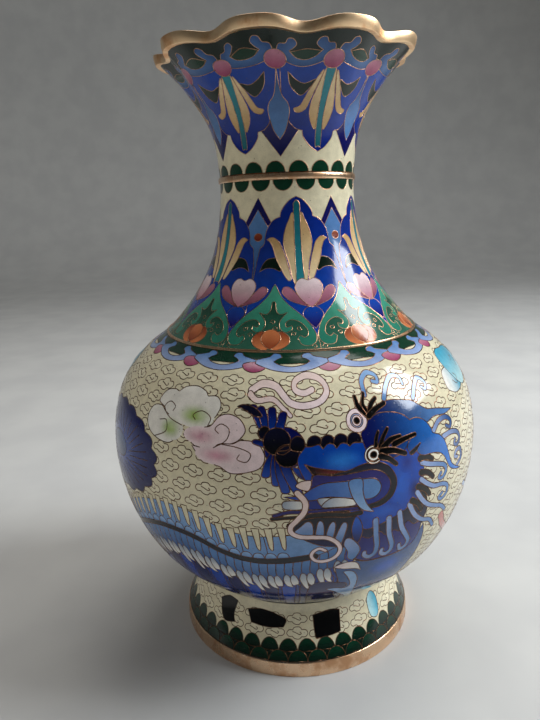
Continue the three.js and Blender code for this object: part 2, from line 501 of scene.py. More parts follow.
def joined_behind(places):
    """Each place's own index, or that of the place it meets where the band's two ends join."""
    swap = np.arange(len(places))
    left = np.flatnonzero(np.abs(places[:, 0] + 180) < 1e-3)
    for i in np.flatnonzero(np.abs(places[:, 0] - 180) < 1e-3) if len(left) else ():
        nearest = left[np.argmin(np.abs(places[left, 1] - places[i, 1]))]
        if abs(places[nearest, 1] - places[i, 1]) < 0.01:
            swap[i] = nearest
    return swap


def open_edges(triangles):
    """The edges that only one triangle has, each in that triangle's direction."""
    sides = {}
    for triangle in triangles:
        for i in range(3):
            a, b = int(triangle[i]), int(triangle[(i + 1) % 3])
            if (b, a) in sides:
                del sides[(b, a)]
            else:
                sides[(a, b)] = True
    return sides


def enamel_coat(name, pattern, solved):
    """The coat as one closed skin, its outer face cut into the pattern's cells."""
    places, triangles, tops, _ = solved
    used, triangles = np.unique(triangles, return_inverse=True)
    triangles = triangles.reshape(-1, 3)
    places = places[used]
    swap = joined_behind(places)
    welded = swap[triangles]
    whole = (welded != np.roll(welded, 1, axis=1)).all(axis=1)
    welded, triangles, tops = welded[whole], triangles[whole], tops[whole]
    outline = pattern.outline
    outer = on_wall(outline, places[:, 0], places[:, 1])
    normals = normals_on(outline, places[:, 0], places[:, 1])
    inner = on_wall(outline, places[:, 0], places[:, 1], -ENAMEL)
    count = len(places)
    rims = [(b, a, a + count, b + count) for a, b in open_edges(welded)]
    faces = [tuple(map(int, t)) for t in welded]
    faces += [tuple(int(v) + count for v in t[::-1]) for t in welded] + rims
    piece = mesh_piece(name, np.concatenate([outer, inner]), faces)
    for face in piece.data.polygons[len(faces) - len(rims):]:
        face.use_smooth = False
    corner_tops = np.repeat(tops, 3)
    colours = pattern.colours(places[triangles.reshape(-1)], corner_tops)
    ground = pattern.colours(places[:1], np.zeros(1, int))
    rest = len(welded) * 3 + len(rims) * 4
    colours = np.concatenate([colours, np.repeat(ground, rest, axis=0)])
    layer_of = piece.data.color_attributes.new("enamel", "FLOAT_COLOR", "CORNER")
    layer_of.data.foreach_set("color", np.concatenate([colours, np.ones((len(colours), 1))], 1).ravel())
    corner_normals = np.concatenate([normals[welded.reshape(-1)], -normals[welded[:, ::-1].reshape(-1)],
                                     np.zeros((len(rims) * 4, 3))])
    piece.data.normals_split_custom_set([tuple(normal) for normal in corner_normals])
    drop_unused(piece)
    return piece


def drop_unused(piece):
    """Takes away the points that no face uses, which the closed seam leaves."""
    mesh = bmesh.new()
    mesh.from_mesh(piece.data)
    loose = [vertex for vertex in mesh.verts if not vertex.link_faces]
    if loose:
        bmesh.ops.delete(mesh, geom=loose, context="VERTS")
        mesh.to_mesh(piece.data)
    mesh.free()


def cloison_wires(name, pattern, solved, wide):
    """A low ridge of gilt wire along every edge that has one."""
    places, _, _, wires = solved
    middle = on_wall(pattern.outline, places[:, 0], places[:, 1])
    normals = normals_on(pattern.outline, places[:, 0], places[:, 1])
    points, faces = [], []
    for run in chains(wires):
        closed = run[0] == run[-1] and len(run) > 3
        ids = run[:-1] if closed else run
        line, up = middle[ids], normals[ids]
        ahead = np.roll(line, -1, axis=0) - line
        behind = line - np.roll(line, 1, axis=0)
        if not closed:
            ahead[-1], behind[0] = behind[-1], ahead[0]
        along = ahead / np.maximum(np.linalg.norm(ahead, axis=1), 1e-12)[:, None]
        along = along + behind / np.maximum(np.linalg.norm(behind, axis=1), 1e-12)[:, None]
        across = np.cross(along, up)
        across /= np.maximum(np.linalg.norm(across, axis=1), 1e-12)[:, None]
        half = wide / 2 * MM
        sunk = up * WIRE_SUNK * MM
        ring = np.stack([line - across * half - sunk, line + up * WIRE_PROUD * MM,
                         line + across * half - sunk], 1)
        first, size = len(points), len(ids)
        points += [tuple(point) for point in ring.reshape(-1, 3)]
        for i in range(size if closed else size - 1):
            a, b = first + 3 * i, first + 3 * ((i + 1) % size)
            faces += [(a, a + 1, b + 1, b), (a + 1, a + 2, b + 2, b + 1), (a + 2, a, b, b + 2)]
        if not closed:
            last = first + 3 * (size - 1)
            faces += [(first + 2, first + 1, first), (last, last + 1, last + 2)]
    return mesh_piece(name, points, faces)


# ---- the mouth: petals and drops that hang from a ribbon ------------------------------------
RIBBON_SWAG = [(13, 220.6), (12.5, 222.8), (9.5, 223.2), (8.2, 224.4), (5.8, 224.6), (4.4, 223.5),
               (6, 222.3), (7.8, 221.6, 1), (4.5, 220.2), (0, 219.7), (-4.5, 220.2), (-7.8, 221.6, 1),
               (-6, 222.3), (-4.4, 223.5), (-5.8, 224.6), (-8.2, 224.4), (-9.5, 223.2), (-12.5, 222.8),
               (-13, 220.6), (-8, 218.6), (0, 217.9), (8, 218.6)]
SWAG_LENS = [(7.2, 221.4, 1), (4.5, 220.2), (0, 219.7), (-4.5, 220.2), (-7.2, 221.4, 1), (0, 222.4)]


def both_sides(pattern, turn, outline, fill, steps=6):
    """Lays an outline of (degrees from turn, height) and its mirror image."""
    curve = through(outline, steps, closed=True)
    pattern.cell(curve + [turn, 0], fill)
    pattern.cell(curve * [-1, 1] + [turn, 0], fill)


def centred(pattern, turn, outline, fill, steps=6):
    """Lays a smooth outline of (degrees from turn, height)."""
    pattern.shape(outline, fill, steps, (turn, 0))


def scallops(pattern, count, first, base, reach, wide, fill):
    """A row of half-rounds that stand on, or with a negative reach hang from, a height."""
    for k in range(count):
        arc = np.radians(np.linspace(0, 180, 15))
        points = np.stack([first + k * 360 / count + wide * np.cos(arc), base + reach * np.sin(arc)], 1)
        pattern.cell(points, fill)


def mouth_turn(turn):
    """The hand-spaced motifs are a little closer together on one side."""
    return turn - 4 - 3 * math.sin(math.radians(turn))


def mouth_pattern():
    """Six blue petals and six hanging drops on cream, under a ribbon with rose beads."""
    low, high = span("mouth_enamel")[0], RIM_LOW - LAP
    pattern = Pattern(wall, low, high, "cream")
    scallops(pattern, 20, 9.5, low, 3.7, 7.8, "bottle")
    for k in range(6):
        drop = mouth_turn(60 * k)
        diamond = mirrored([(0, 210, 1), (13.5, 200, 1), (0, 191.6, 1)])
        pattern.cell(np.array(diamond)[:, :2] + [drop, 0], ("navy", "violet", "up"))
    for k in range(6):
        petal = mouth_turn(60 * k + 30)
        half = [(0, 225.4, 1), (30.5, 225.4, 1), (30.5, 206, 1), (24, 204.3), (21, 201.9), (17.5, 200.3, 1),
                (12.6, 199.7, 1), (11.4, 197.5), (6, 194.6), (0, 193, 1)]
        centred(pattern, petal, mirrored(half), ("cobalt deep", "cobalt", "up"))
    pattern.cell([(-180, 221), (180, 221), (180, high), (-180, high)], "bottle deep", wrap=False)
    for k in range(6):
        petal = mouth_turn(60 * k + 30)
        hook = [(7, 214.2), (13, 213.4), (18, 214.4), (22.5, 216.4, 1), (21.5, 213.2), (18, 210.9),
                (13.5, 210.3)]
        both_sides(pattern, petal, hook, "bottle deep")
        outer = [(4.2, 216.6), (10, 211.5), (14.5, 207.3), (18.8, 206.3), (16.5, 205.1), (11.5, 206),
                 (8.6, 208.9), (4.6, 214.5)]
        both_sides(pattern, petal, outer, ("ochre", "ochre pale", "up"))
        inner = [(2.4, 217), (5, 213), (8.2, 207), (7.3, 203), (3, 200.2), (2.2, 208)]
        both_sides(pattern, petal, inner, ("ochre", "ochre pale", "up"))
        centred(pattern, petal, mirrored([(0, 217.4), (2.6, 217, 1), (2.2, 206), (2.3, 195.4), (0, 194.8)]),
                ("teal", "teal light", "up"), 4)
        drop = mouth_turn(60 * k)
        shape = [(0, 217.3, 1), (1, 213), (2.6, 210), (6, 207.8), (6.9, 205), (4.4, 200.2), (0, 197, 1)]
        centred(pattern, drop, mirrored(shape), ("sky", "denim", "up"))
    for k in range(12):
        swag = (mouth_turn(30 * k) + mouth_turn(30 * k + 30)) / 2
        centred(pattern, swag, SWAG_LENS, "bottle")
        centred(pattern, swag, RIBBON_SWAG, ("sky", "denim", "out"), 4)
    for k in range(12):
        bead = mouth_turn(30 * k)
        pattern.cell(oval(bead, 219.3, 5.2, 2.3), ("magenta", "rose", "up"))
    return pattern


# ---- the neck: petals, diamonds, lotuses and scroll arches ----------------------------------
def neck_pattern():
    """Petals and diamonds above nine scroll arches with a lotus between each two."""
    low, high = SHOULDER + EDGE_GAP, span("neck_enamel")[1] + NECK_TUCK
    pattern = Pattern(wall, low, high, "cream")
    scallops(pattern, 20, -2.9, high, -3.7, 7.8, "bottle")
    for k in range(6):
        diamond = 37 + 60 * k
        chevron = mirrored([(0, 178.3, 1), (11.4, 169.2, 1), (9.4, 166.6, 1), (0, 160, 1)])
        pattern.cell(np.array(chevron)[:, :2] + [diamond, 0], ("violet", "navy", "up"))
        kite = mirrored([(0, 174.2, 1), (9.9, 167, 1), (8, 160), (4, 154), (0, 147, 1)])
        centred(pattern, diamond, kite, ("denim", "sky", "up"))
        pattern.cell(oval(diamond + 0.7, 164.7, 3.2, 1.35), ("red", "orange deep", "up"))
    for k in range(6):
        petal = 7 + 60 * k
        half = [(0, 178.4, 1), (6, 176.9), (11.4, 173.8), (12.6, 171.6, 1), (18, 170.4), (22.3, 167.6),
                (23.8, 165, 1), (24.3, 162.5), (27.3, 160.9, 1), (28.8, 156), (29.7, 149.6, 1),
                (30.5, 129, 1), (0, 129, 1)]
        centred(pattern, petal, mirrored(half), ("cobalt", "cobalt deep", "up"))
        hook = [(14, 157.2), (20.5, 157.3), (24, 155.6), (26.2, 152.9, 1), (22, 154.1), (17, 154.1),
                (12, 153.2)]
        both_sides(pattern, petal, hook, "bottle deep")
        outer = [(5.6, 150.6), (8, 156), (10.8, 160.2), (13.5, 163), (18, 164.6), (22.6, 163.9, 1),
                 (20, 163), (17.8, 161), (15.2, 157.2), (11.5, 153.5), (7.8, 150.2)]
        both_sides(pattern, petal, outer, ("ochre pale", "ochre", "up"))
        inner = [(2.4, 171.8), (6.5, 170), (9.3, 166.5), (10.4, 163), (9.3, 159.8), (6.8, 156),
                 (4.4, 150.2), (2.2, 150)]
        both_sides(pattern, petal, inner, ("ochre pale", "ochre", "up"))
        centred(pattern, petal, mirrored([(0, 177.2), (2.5, 176, 1), (2.4, 162), (2.6, 149, 1)]),
                ("teal light", "teal", "up"), 4)
    for k in range(9):
        arch = 31.7 + 40 * k
        ground = [(0, 147.6, 1), (7, 142.2), (14, 138.6), (19, 134.4), (20.2, 131), (20.2, 129, 1)]
        centred(pattern, arch, mirrored(ground), ("fir", "bottle", "up"))
        for x, z in [(-4, 141.5), (3, 140.5), (0, 137), (-12.4, 135), (12.6, 135), (-9.5, 133.2),
                     (9.6, 133.4), (-13.8, 131), (13.9, 131), (-17.8, 129.8), (17.8, 129.8), (-2, 143.8),
                     (1.5, 135)]:
            curl = [(-0.8, -0.2), (-0.3, 0.7), (0.6, 0.6), (0.8, -0.2), (0.2, -0.6), (-0.2, 0)]
            pattern.wire(through(pattern.at(curl, arch + x, z, 1, 40 * x), 3))
    for k in range(9):
        lotus = 11.7 + 40 * k
        drop = [(0, 141.6), (3.4, 141), (5.2, 139.2), (3.4, 137.2), (0, 134.8, 1)]
        centred(pattern, lotus, mirrored(drop), ("violet", "cobalt", "up"))
    for k in range(9):
        arch = 31.7 + 40 * k
        scroll = [(0.6, 148.4), (3.8, 145), (8.3, 142), (13.3, 139.4), (17.3, 136.5), (19.4, 133.6),
                  (19.2, 131.4), (16.8, 130.1), (13.2, 130.3), (11.4, 132.2, 1), (12.6, 133.1, 1),
                  (14.4, 132.4), (16, 133.2), (15.8, 134.9), (13.2, 136.8), (9.3, 137.7), (6.4, 136.8),
                  (6.8, 135.5), (9.2, 135.9, 1), (9, 134.6), (6.2, 133.9), (3.8, 135), (3.4, 137),
                  (5.3, 138.8), (7.2, 139.9, 1), (3.6, 139.3), (1.5, 140.5), (0.7, 143.6)]
        outline = [*scroll[:-1], (0.8, 143), (-0.8, 143)]
        outline += [(-point[0], *point[1:]) for point in scroll[-2::-1]]
        centred(pattern, arch, outline, ("jade deep", "jade", "up"), 4)
    for k in range(9):
        lotus = 11.7 + 40 * k
        side = [(1, 141.4, 1), (6, 142.3), (12, 143.8), (15.8, 146.2), (14.5, 147.9), (11, 147.6),
                (6.5, 145)]
        both_sides(pattern, lotus, side, ("plum", "rose", "up"))
        heart = [(0, 149.9), (3.6, 150.6), (7, 149.6), (8.2, 147.2), (5.2, 143.8), (0, 141.2, 1)]
        centred(pattern, lotus, mirrored(heart), ("rose", "rose pale", "up"))
        flower = 31.7 + 40 * k
        petal = [(0.6, 133.4), (4.4, 134.2), (7.6, 132.8), (7.6, 130.8), (4.5, 129.3), (0.6, 129.4)]
        both_sides(pattern, flower, petal, ("orange", "orange deep", "up"))
        middle = [(0, 134.8), (3.2, 134), (4.2, 132), (2.4, 130.2), (0, 129.2, 1)]
        centred(pattern, flower, mirrored(middle), ("orange deep", "orange", "up"))
    return pattern


# ---- the foot: a lattice over two rows of scallops ------------------------------------------
CLOUD = [(-4, -0.3), (-3.3, 0.9), (-1.8, 1.0, 1), (-1.2, 2.0), (0.8, 2.2), (1.6, 1.3, 1), (3.2, 1.3),
         (4, 0.1), (3.1, -1.1), (1.6, -1.2, 1), (0.7, -2.1), (-1.0, -1.9), (-1.8, -1.2, 1), (-3.2, -1.3)]
CLOUD_CURL = [(-1.9, 0.5), (-0.6, 0.1), (0.9, -0.5), (1.5, 0.0), (0.9, 0.5)]


def cloud_lattice(pattern, low, high, row_pitch, column_pitch):
    """Rows of small cloud-shaped wires, each row half a step on from the last."""
    lengths = np.arange(pattern.outline.length_at(low), pattern.outline.length_at(high), row_pitch)
    for row, length in enumerate(lengths):
        z = float(pattern.outline.height_at(length))
        count = max(12, round(360 * float(pattern.per_degree(z)) / column_pitch))
        for k in range(count):
            turn = (k + 0.5 * (row % 2)) * 360 / count - 180
            size, tilt = DRAW.uniform(0.92, 1.06), DRAW.uniform(-5, 5)
            ring = pattern.at(through(CLOUD, 2, closed=True), turn, z, size, tilt)
            pattern.cell(ring, "cream light")
            pattern.wire(pattern.at(through(CLOUD_CURL, 2), turn, z, size, tilt))


def foot_pattern():
    """Cloud lattice with a few dark blocks, over two rows of green scallops."""
    low, high = FOOT_BAND_TOP + LAP, BELLY_BASE - LAP
    pattern = Pattern(foot, low, high, "cream")
    cloud_lattice(pattern, 15.6, 24, 5.2, 8.6)
    block = [(-7.6, 21.4, 1), (-7.2, 14.4), (-6.4, 13.4, 1), (5, 14.2), (6.2, 15, 1), (7.6, 21.6, 1),
             (2, 22.4)]
    flat = [(-11, 21.4, 1), (-4, 22.6), (3, 22.2, 1), (10.6, 20.2), (9.4, 17.4, 1), (1, 16.8),
            (-8, 17.2, 1)]
    horn = [(-6, 20.8, 1), (0, 23.2), (6.4, 22.8, 1), (5.4, 18), (7, 15.2, 1), (0.4, 14.2), (-3.6, 17, 1)]
    for turn, outline in ((16, block), (-16.5, flat), (-41, horn), (98, block), (150, flat), (-105, horn),
                          (-150, block)):
        pattern.shape(outline, "black", 3, (turn, 0))
    for turn in (45, -125):
        drop = [(-3.4, 15), (-2.8, 20.6), (1.4, 22.8), (4.6, 20), (3.4, 15.4), (0.4, 13.4)]
        pattern.shape(drop, ("turquoise pale", "turquoise", "across"), 4, (turn, 0))
    scallops(pattern, 40, -4.5, low + 3.6, 4.3, 4.4, ("bottle deep", "bottle", "up"))
    pattern.cell([(-180, low), (180, low), (180, low + 3.6), (-180, low + 3.6)], "bottle deep", wrap=False)
    scallops(pattern, 40, 0, low + 0.2, 3.9, 4.5, ("bottle deep", "bottle", "up"))
    return pattern


# ---- the belly: the border, the lattice ground and the dragon -------------------------------
SPINE = [(12, 69.5), (5, 65.4), (-2, 63.9), (-9, 63.1), (-15, 63.6), (-21, 65.6), (-27, 68.4), (-33, 69.5),
         (-41, 68.8), (-50, 65.3), (-60, 60), (-76, 54), (-95, 51.5), (-115, 56), (-135, 66), (-155, 77),
         (-172, 84), (-190, 86), (-208, 82), (-224, 75), (-238, 70), (-250, 70)]


def belly_border(pattern, high):
    """Lavender swags between rose beads, under the shoulder wire."""
    pattern.cell([(-180, 125.4), (180, 125.4), (180, high), (-180, high)], "bottle", wrap=False)
    for k in range(14):
        bead = 13.2 + k * 360 / 14
        swag = bead + 180 / 14
        half = [(0, 124.8), (4, 125.2), (6.4, 126.0, 1), (5.2, 126.6), (3.7, 127.1), (4.3, 127.9),
                (6.6, 128.1), (8, 127.3), (10.7, 126.8), (12.86, 126.4, 1), (12.86, 125.5, 1),
                (10.5, 124.9), (6, 123.9), (0, 123.4)]
        centred(pattern, bead, mirrored([(0, 125.9), (3, 125.7), (4.4, 125.1), (3, 123.9), (0, 123.3)]),
                ("magenta", "rose", "up"))
        centred(pattern, swag, mirrored(half), ("lavender", "sky", "up"), 4)


def hooked_scales(pattern, body):
    """The dragon's flank: a band of sky-blue scales under the spine, fringed with white hooks."""
    turns = np.arange(12, -236, -4.7)
    for turn in turns:
        z = float(body(turn))
        size = float(np.interp(turn, [-240, -120, 0], [0.45, 0.9, 1.0]))
        for lean in (0.0, 2.3):
            x = turn - lean
            strip = [(x + 1.3, z), (x + 1.2, z - 5 * size), (x + 1.4, z - 9.5 * size),
                     (x - 1.2, z - 10 * size), (x - 1.1, z - 5 * size), (x - 1, z)]
            pattern.shape(strip, ("denim", "sky", "up"), 3)
        tip = 15.4 * size + 1.4 * math.sin(turn)
        for x, reach in ((turn, 1.0), (turn + 2.0, 0.9)):
            hook = [(x - 1.2, z - 7.6 * size), (x - 1.5, z - 10.4 * size), (x - 0.8, z - 13 * size),
                    (x + 0.4, z - tip * reach * 0.98), (x + 1.6, z - tip * reach, 1),
                    (x + 0.9, z - 13 * size), (x + 0.9, z - 10.6 * size), (x - 0.1, z - 7.4 * size)]
            pattern.shape(hook, ("white", "grey", "up"), 4)


def fin_height(turn):
    """How far the crest of fins stands above the spine, lower towards the tail."""
    return np.interp(turn, [-236, -200, 16], [4, 9, 10.5])


def dragon_body(pattern):
    """The body winds round the vase under its black spine, from behind the beard to the tail."""
    spine = through(SPINE, 8)[::-1]

    def body(turn):
        """The spine's height."""
        return np.interp(turn, spine[:, 0], spine[:, 1])

    turns = np.linspace(16, -236, 90)
    under = np.interp(turns, [-236, -190, -160, -130, -104, 16], [-3, -12, -20, -26, 0, 0])
    flank = np.where(turns > -104, BELLY_BASE - 1, np.maximum(body(turns) + under, BELLY_BASE - 1))
    top = np.stack([turns, body(turns)], 1)
    pattern.cell(np.concatenate([top, np.stack([turns, flank], 1)[::-1]]), ("navy", "cobalt", "up"))
    for k, turn in enumerate(np.arange(14, -190, -5.6)):
        low = max(BELLY_BASE - 1, float(np.interp(turn, turns[::-1], flank[::-1])))
        top_z = float(body(turn)) - 13
        streak = [(turn + 2.6, top_z), (turn + 1.9, (top_z + low) / 2), (turn + 1.4 - 0.05 * k, low),
                  (turn - 2.2 - 0.05 * k, low), (turn - 1.6, (top_z + low) / 2), (turn - 1.4, top_z)]
        blues = (("denim", "navy", "up"), ("cobalt deep", "cobalt", "up"))
        pattern.shape(streak, blues[k % 2], 4)
    hooked_scales(pattern, body)
    crest = np.stack([turns, body(turns) + fin_height(turns)], 1)
    pattern.cell(np.concatenate([top, crest[::-1]]), ("sky", "sky pale", "up"))
    for k, turn in enumerate(np.arange(-3, -232, -3.3)):
        z = float(body(turn))
        rise = float(fin_height(turn))
        if turn > -14:
            rise += 1.5
        fin = [(turn - 1.5, z + rise + 1.6, 1), (turn - 0.7, z + rise * 0.7), (turn - 0.3, z + rise * 0.48),
               (turn + 0.5, z + rise * 0.4), (turn + 0.7, z + rise * 0.66), (turn + 0.5, z + rise + 1.6, 1)]
        pattern.shape(fin, "cream", 4)
        if k % 2:
            pattern.wire([(turn - 0.9, z + 1.2), (turn - 1.1, z + rise * 0.45),
                          (turn - 1.7, z + rise * 0.85)])
        scale = [(turn - 1.6, z + 0.6), (turn - 1.4, z + 2.8), (turn - 0.2, z + 3.5), (turn + 1.0, z + 2.8),
                 (turn + 1.3, z + 0.6)]
        pattern.shape(scale, ("sky", "sky pale", "up"), 4)
    path = [point for point in SPINE if point[0] < 11]
    pattern.cell(pattern.band(path, 2.5, 6, tip=0.3), ("black", "midnight", "up"))


def tuft(pattern, turn, z, wide, tall):
    """A dark scalloped tuft of hair, combed with fine wires."""
    rim = []
    for k in range(18):
        start = math.radians(k * 20)
        for share in (0, 0.35, 0.65):
            swell = 1 + 0.07 * math.sin(math.pi * share)
            angle = start + math.radians(20) * share
            corner = (1,) if share == 0 else ()
            rim.append((turn + wide * swell * math.cos(angle), z + tall * swell * math.sin(angle), *corner))
    pattern.shape(rim, ("cobalt", "navy", "out"), 3)
    for k in range(30):
        angle = math.radians(k * 12)
        near, far = DRAW.uniform(0.35, 0.5), DRAW.uniform(0.8, 0.93)
        bend = math.radians(14)
        strand = [(turn + wide * r * math.cos(angle + b), z + tall * r * math.sin(angle + b))
                  for r, b in ((near, 0), ((near + far) / 2, bend * 0.7), (far, bend))]
        pattern.wire(through(strand, 3))
    pattern.cell(oval(turn, z, wide * 0.3, tall * 0.3), ("slate", "denim", "up"))


def swirl(pattern, path, fill, wide=1.3, tip=0.7):
    """Lays a ribbon along a path."""
    pattern.cell(pattern.band(path, wide, 6, tip=tip), fill)


def bicolour_cloud(pattern, turn, z):
    """A four-lobed auspicious cloud: two white lobes shaded green, two rose ones."""
    top = [(-15, 6.5), (-13.6, 9.7), (-10.5, 10.6), (-8.6, 10.2, 1), (-6.5, 11.8), (-2.5, 12.4),
           (1, 11.4), (2.2, 10.2, 1), (5.4, 10.3), (7, 8), (6.2, 5.2), (5, 3.6, 1), (4, 1.6), (0, 0.9),
           (-4, 1.4), (-9, 2), (-12, 5, 1)]
    left = [(-18, 1.5), (-16.6, 4.6), (-13.4, 5.2), (-10.6, 3.6), (-4, 0.9), (-5, -2.5), (-8, -5.4),
            (-13.6, -4.6), (-17, -2)]
    right = [(-3.2, -1.6, 1), (0.6, 1), (4.8, 2), (7, 5), (10, 5.9), (13.2, 4.6), (14.8, 1.6),
             (13, -1.4), (10, -3, 1), (6.4, -4.2), (2, -4.8), (-1.2, -3)]
    low = [(0, -4.4, 1), (5, -4.6), (8.2, -2.8), (11.6, -2.4), (14, -1.2), (18, -1.8), (20, -5.4),
           (19, -9), (15.6, -10.8), (11.4, -11.5), (8.6, -9.8, 1), (4.6, -8.6), (1.6, -6.4)]
    lobes = [(top, "white", (-0.6, 4.4, 6.4, 3.6, "apple")),
             (left, "white", (-8, -0.6, 4.6, 4, "apple")),
             (right, "rose pale", (2.4, -1.2, 5.4, 2.8, "rose soft")),
             (low, "rose pale", (7.6, -6.4, 6.4, 3, "rose soft"))]
    for outline, fill, (x, y, wide, tall, shade) in lobes:
        pattern.shape(outline, fill, 5, (turn, z))
        glow(pattern, turn + x, z + y, wide, tall, (shade, fill))
    curls = [[(-4, 0.9), (-9, 2.4), (-12, 5), (-10.4, 7), (-8, 6), (-8.4, 4.4)],
             [(4, 1.6), (4.6, 4.4), (1.6, 6), (-1, 4.6), (0, 3.2)],
             [(6.4, -4.2), (9.8, -1.6), (10.4, 1.6), (8, 3), (6.4, 1.4), (7.6, 0.2)],
             [(8.2, -2.8), (13, -3.4), (16.4, -5), (15.4, -7.6), (13, -7), (13.6, -5.4)],
             [(-13.6, -4.6), (-9.4, -2), (-10, 1.4), (-12.6, 1)]]
    for curl in curls:
        pattern.wire(through(curl, 4) + [turn, z])


def turquoise_cloud(pattern, turn, z):
    """A small two-lobed cloud."""
    left = [(-15, -3.4), (-13.6, 0.8), (-9.5, 1.8), (-6, 1.4), (-2, -1.8), (-3, -5.6), (-9, -6.6),
            (-13, -5.4)]
    right = [(-7, -1.6), (-9, 2.4), (-7.4, 5.6), (-3, 6.6), (3, 6), (8, 5.6), (13, 4), (15, 0.6),
             (12, -3.4), (6, -5.6), (0, -6.4), (-4, -4.6)]
    lobes = [(left, ("white", "turquoise", "across")), (right, ("turquoise pale", "turquoise", "up"))]
    for outline, fill in lobes:
        pattern.shape(outline, fill, 5, (turn, z))
    for curl in ([(-9, -2.6), (-6.4, -4.4), (-4, -2.6), (-5.8, -1)],
                 [(2, 1.4), (5, 2.6), (7.4, 0.6), (4.6, -1.2)]):
        pattern.wire(through(curl, 4) + [turn, z])


def claw(pattern, turn, z, turned=1):
    """A paw seen from above: blue fingers that fan out from black pads."""
    def lay(points, fill):
        """Lays a cell given from the paw's middle, mirrored if turned is -1."""
        pattern.cell(np.asarray(points)[:, :2] * [turned, 1] + [turn, z], fill)

    lay(oval(-0.4, 0.2, 5.2, 6.2), ("cobalt deep", "navy", "up"))
    fingers = [(-9.0, 11.6), (-6.8, 11.2), (-3.8, 11.0), (-0.8, 9.8), (-7.6, 2.0), (-5.2, -8.0),
               (-2.6, -10.6), (-0.4, -13.0), (2.8, -14.0)]
    for x, y in fingers:
        root = (-1.6 + 0.1 * x, 0.5 + 0.1 * y)
        middle = ((root[0] + x) / 2 - 0.5, (root[1] + y) / 2)
        lay(pattern.band([root, middle, (x, y)], 1.9, 5, tip=0.8), ("cobalt", "navy", "up"))
    for thumb in ([(2.4, -1.2), (5, -3.2), (7.8, -6.4, 1), (4.6, -5.2), (1.8, -4)],
                  [(1.6, -5.4), (4, -6.6), (5.9, -9.6, 1), (3.4, -9), (1.8, -7)]):
        lay(through(thumb, 4, closed=True), ("navy", "cobalt", "up"))
    nail = [(-8.4, 11.4), (-11.6, 12.2), (-13.6, 11.6, 1), (-11.4, 10.8), (-8.6, 9.2), (-6.4, 9.2)]
    lay(through(nail, 4, closed=True), "midnight")
    lay(oval(-5.6, 4.6, 1.7, 1.9), ("midnight", "black", "up"))
    lay(oval(-2.4, 2.2, 3.5, 4.0), ("black", "midnight", "up"))
    lay(oval(0.2, -2.0, 3.0, 3.4), ("black", "midnight", "up"))
    curl = [(-2.2, -0.6), (0.2, -0.2), (1, 0.8), (-0.4, 1), (-2.4, -0.8), (-1, -1.6), (0.8, -0.4)]
    pattern.wire(through(curl, 4) * [turned, 1] + [turn, z])


def eye(pattern, turn, z, wide, tall, rings):
    """Ovals inside each other; rings are (share of the size, fill)."""
    for share, fill in rings:
        pattern.cell(oval(turn, z, wide * share, tall * share), fill)


def glow(pattern, turn, z, wide, tall, fill):
    """A soft patch of another shade inside a cell, without a wire round it."""
    pattern.cell(oval(turn, z, wide, tall), (*fill, "out"), wired=False)


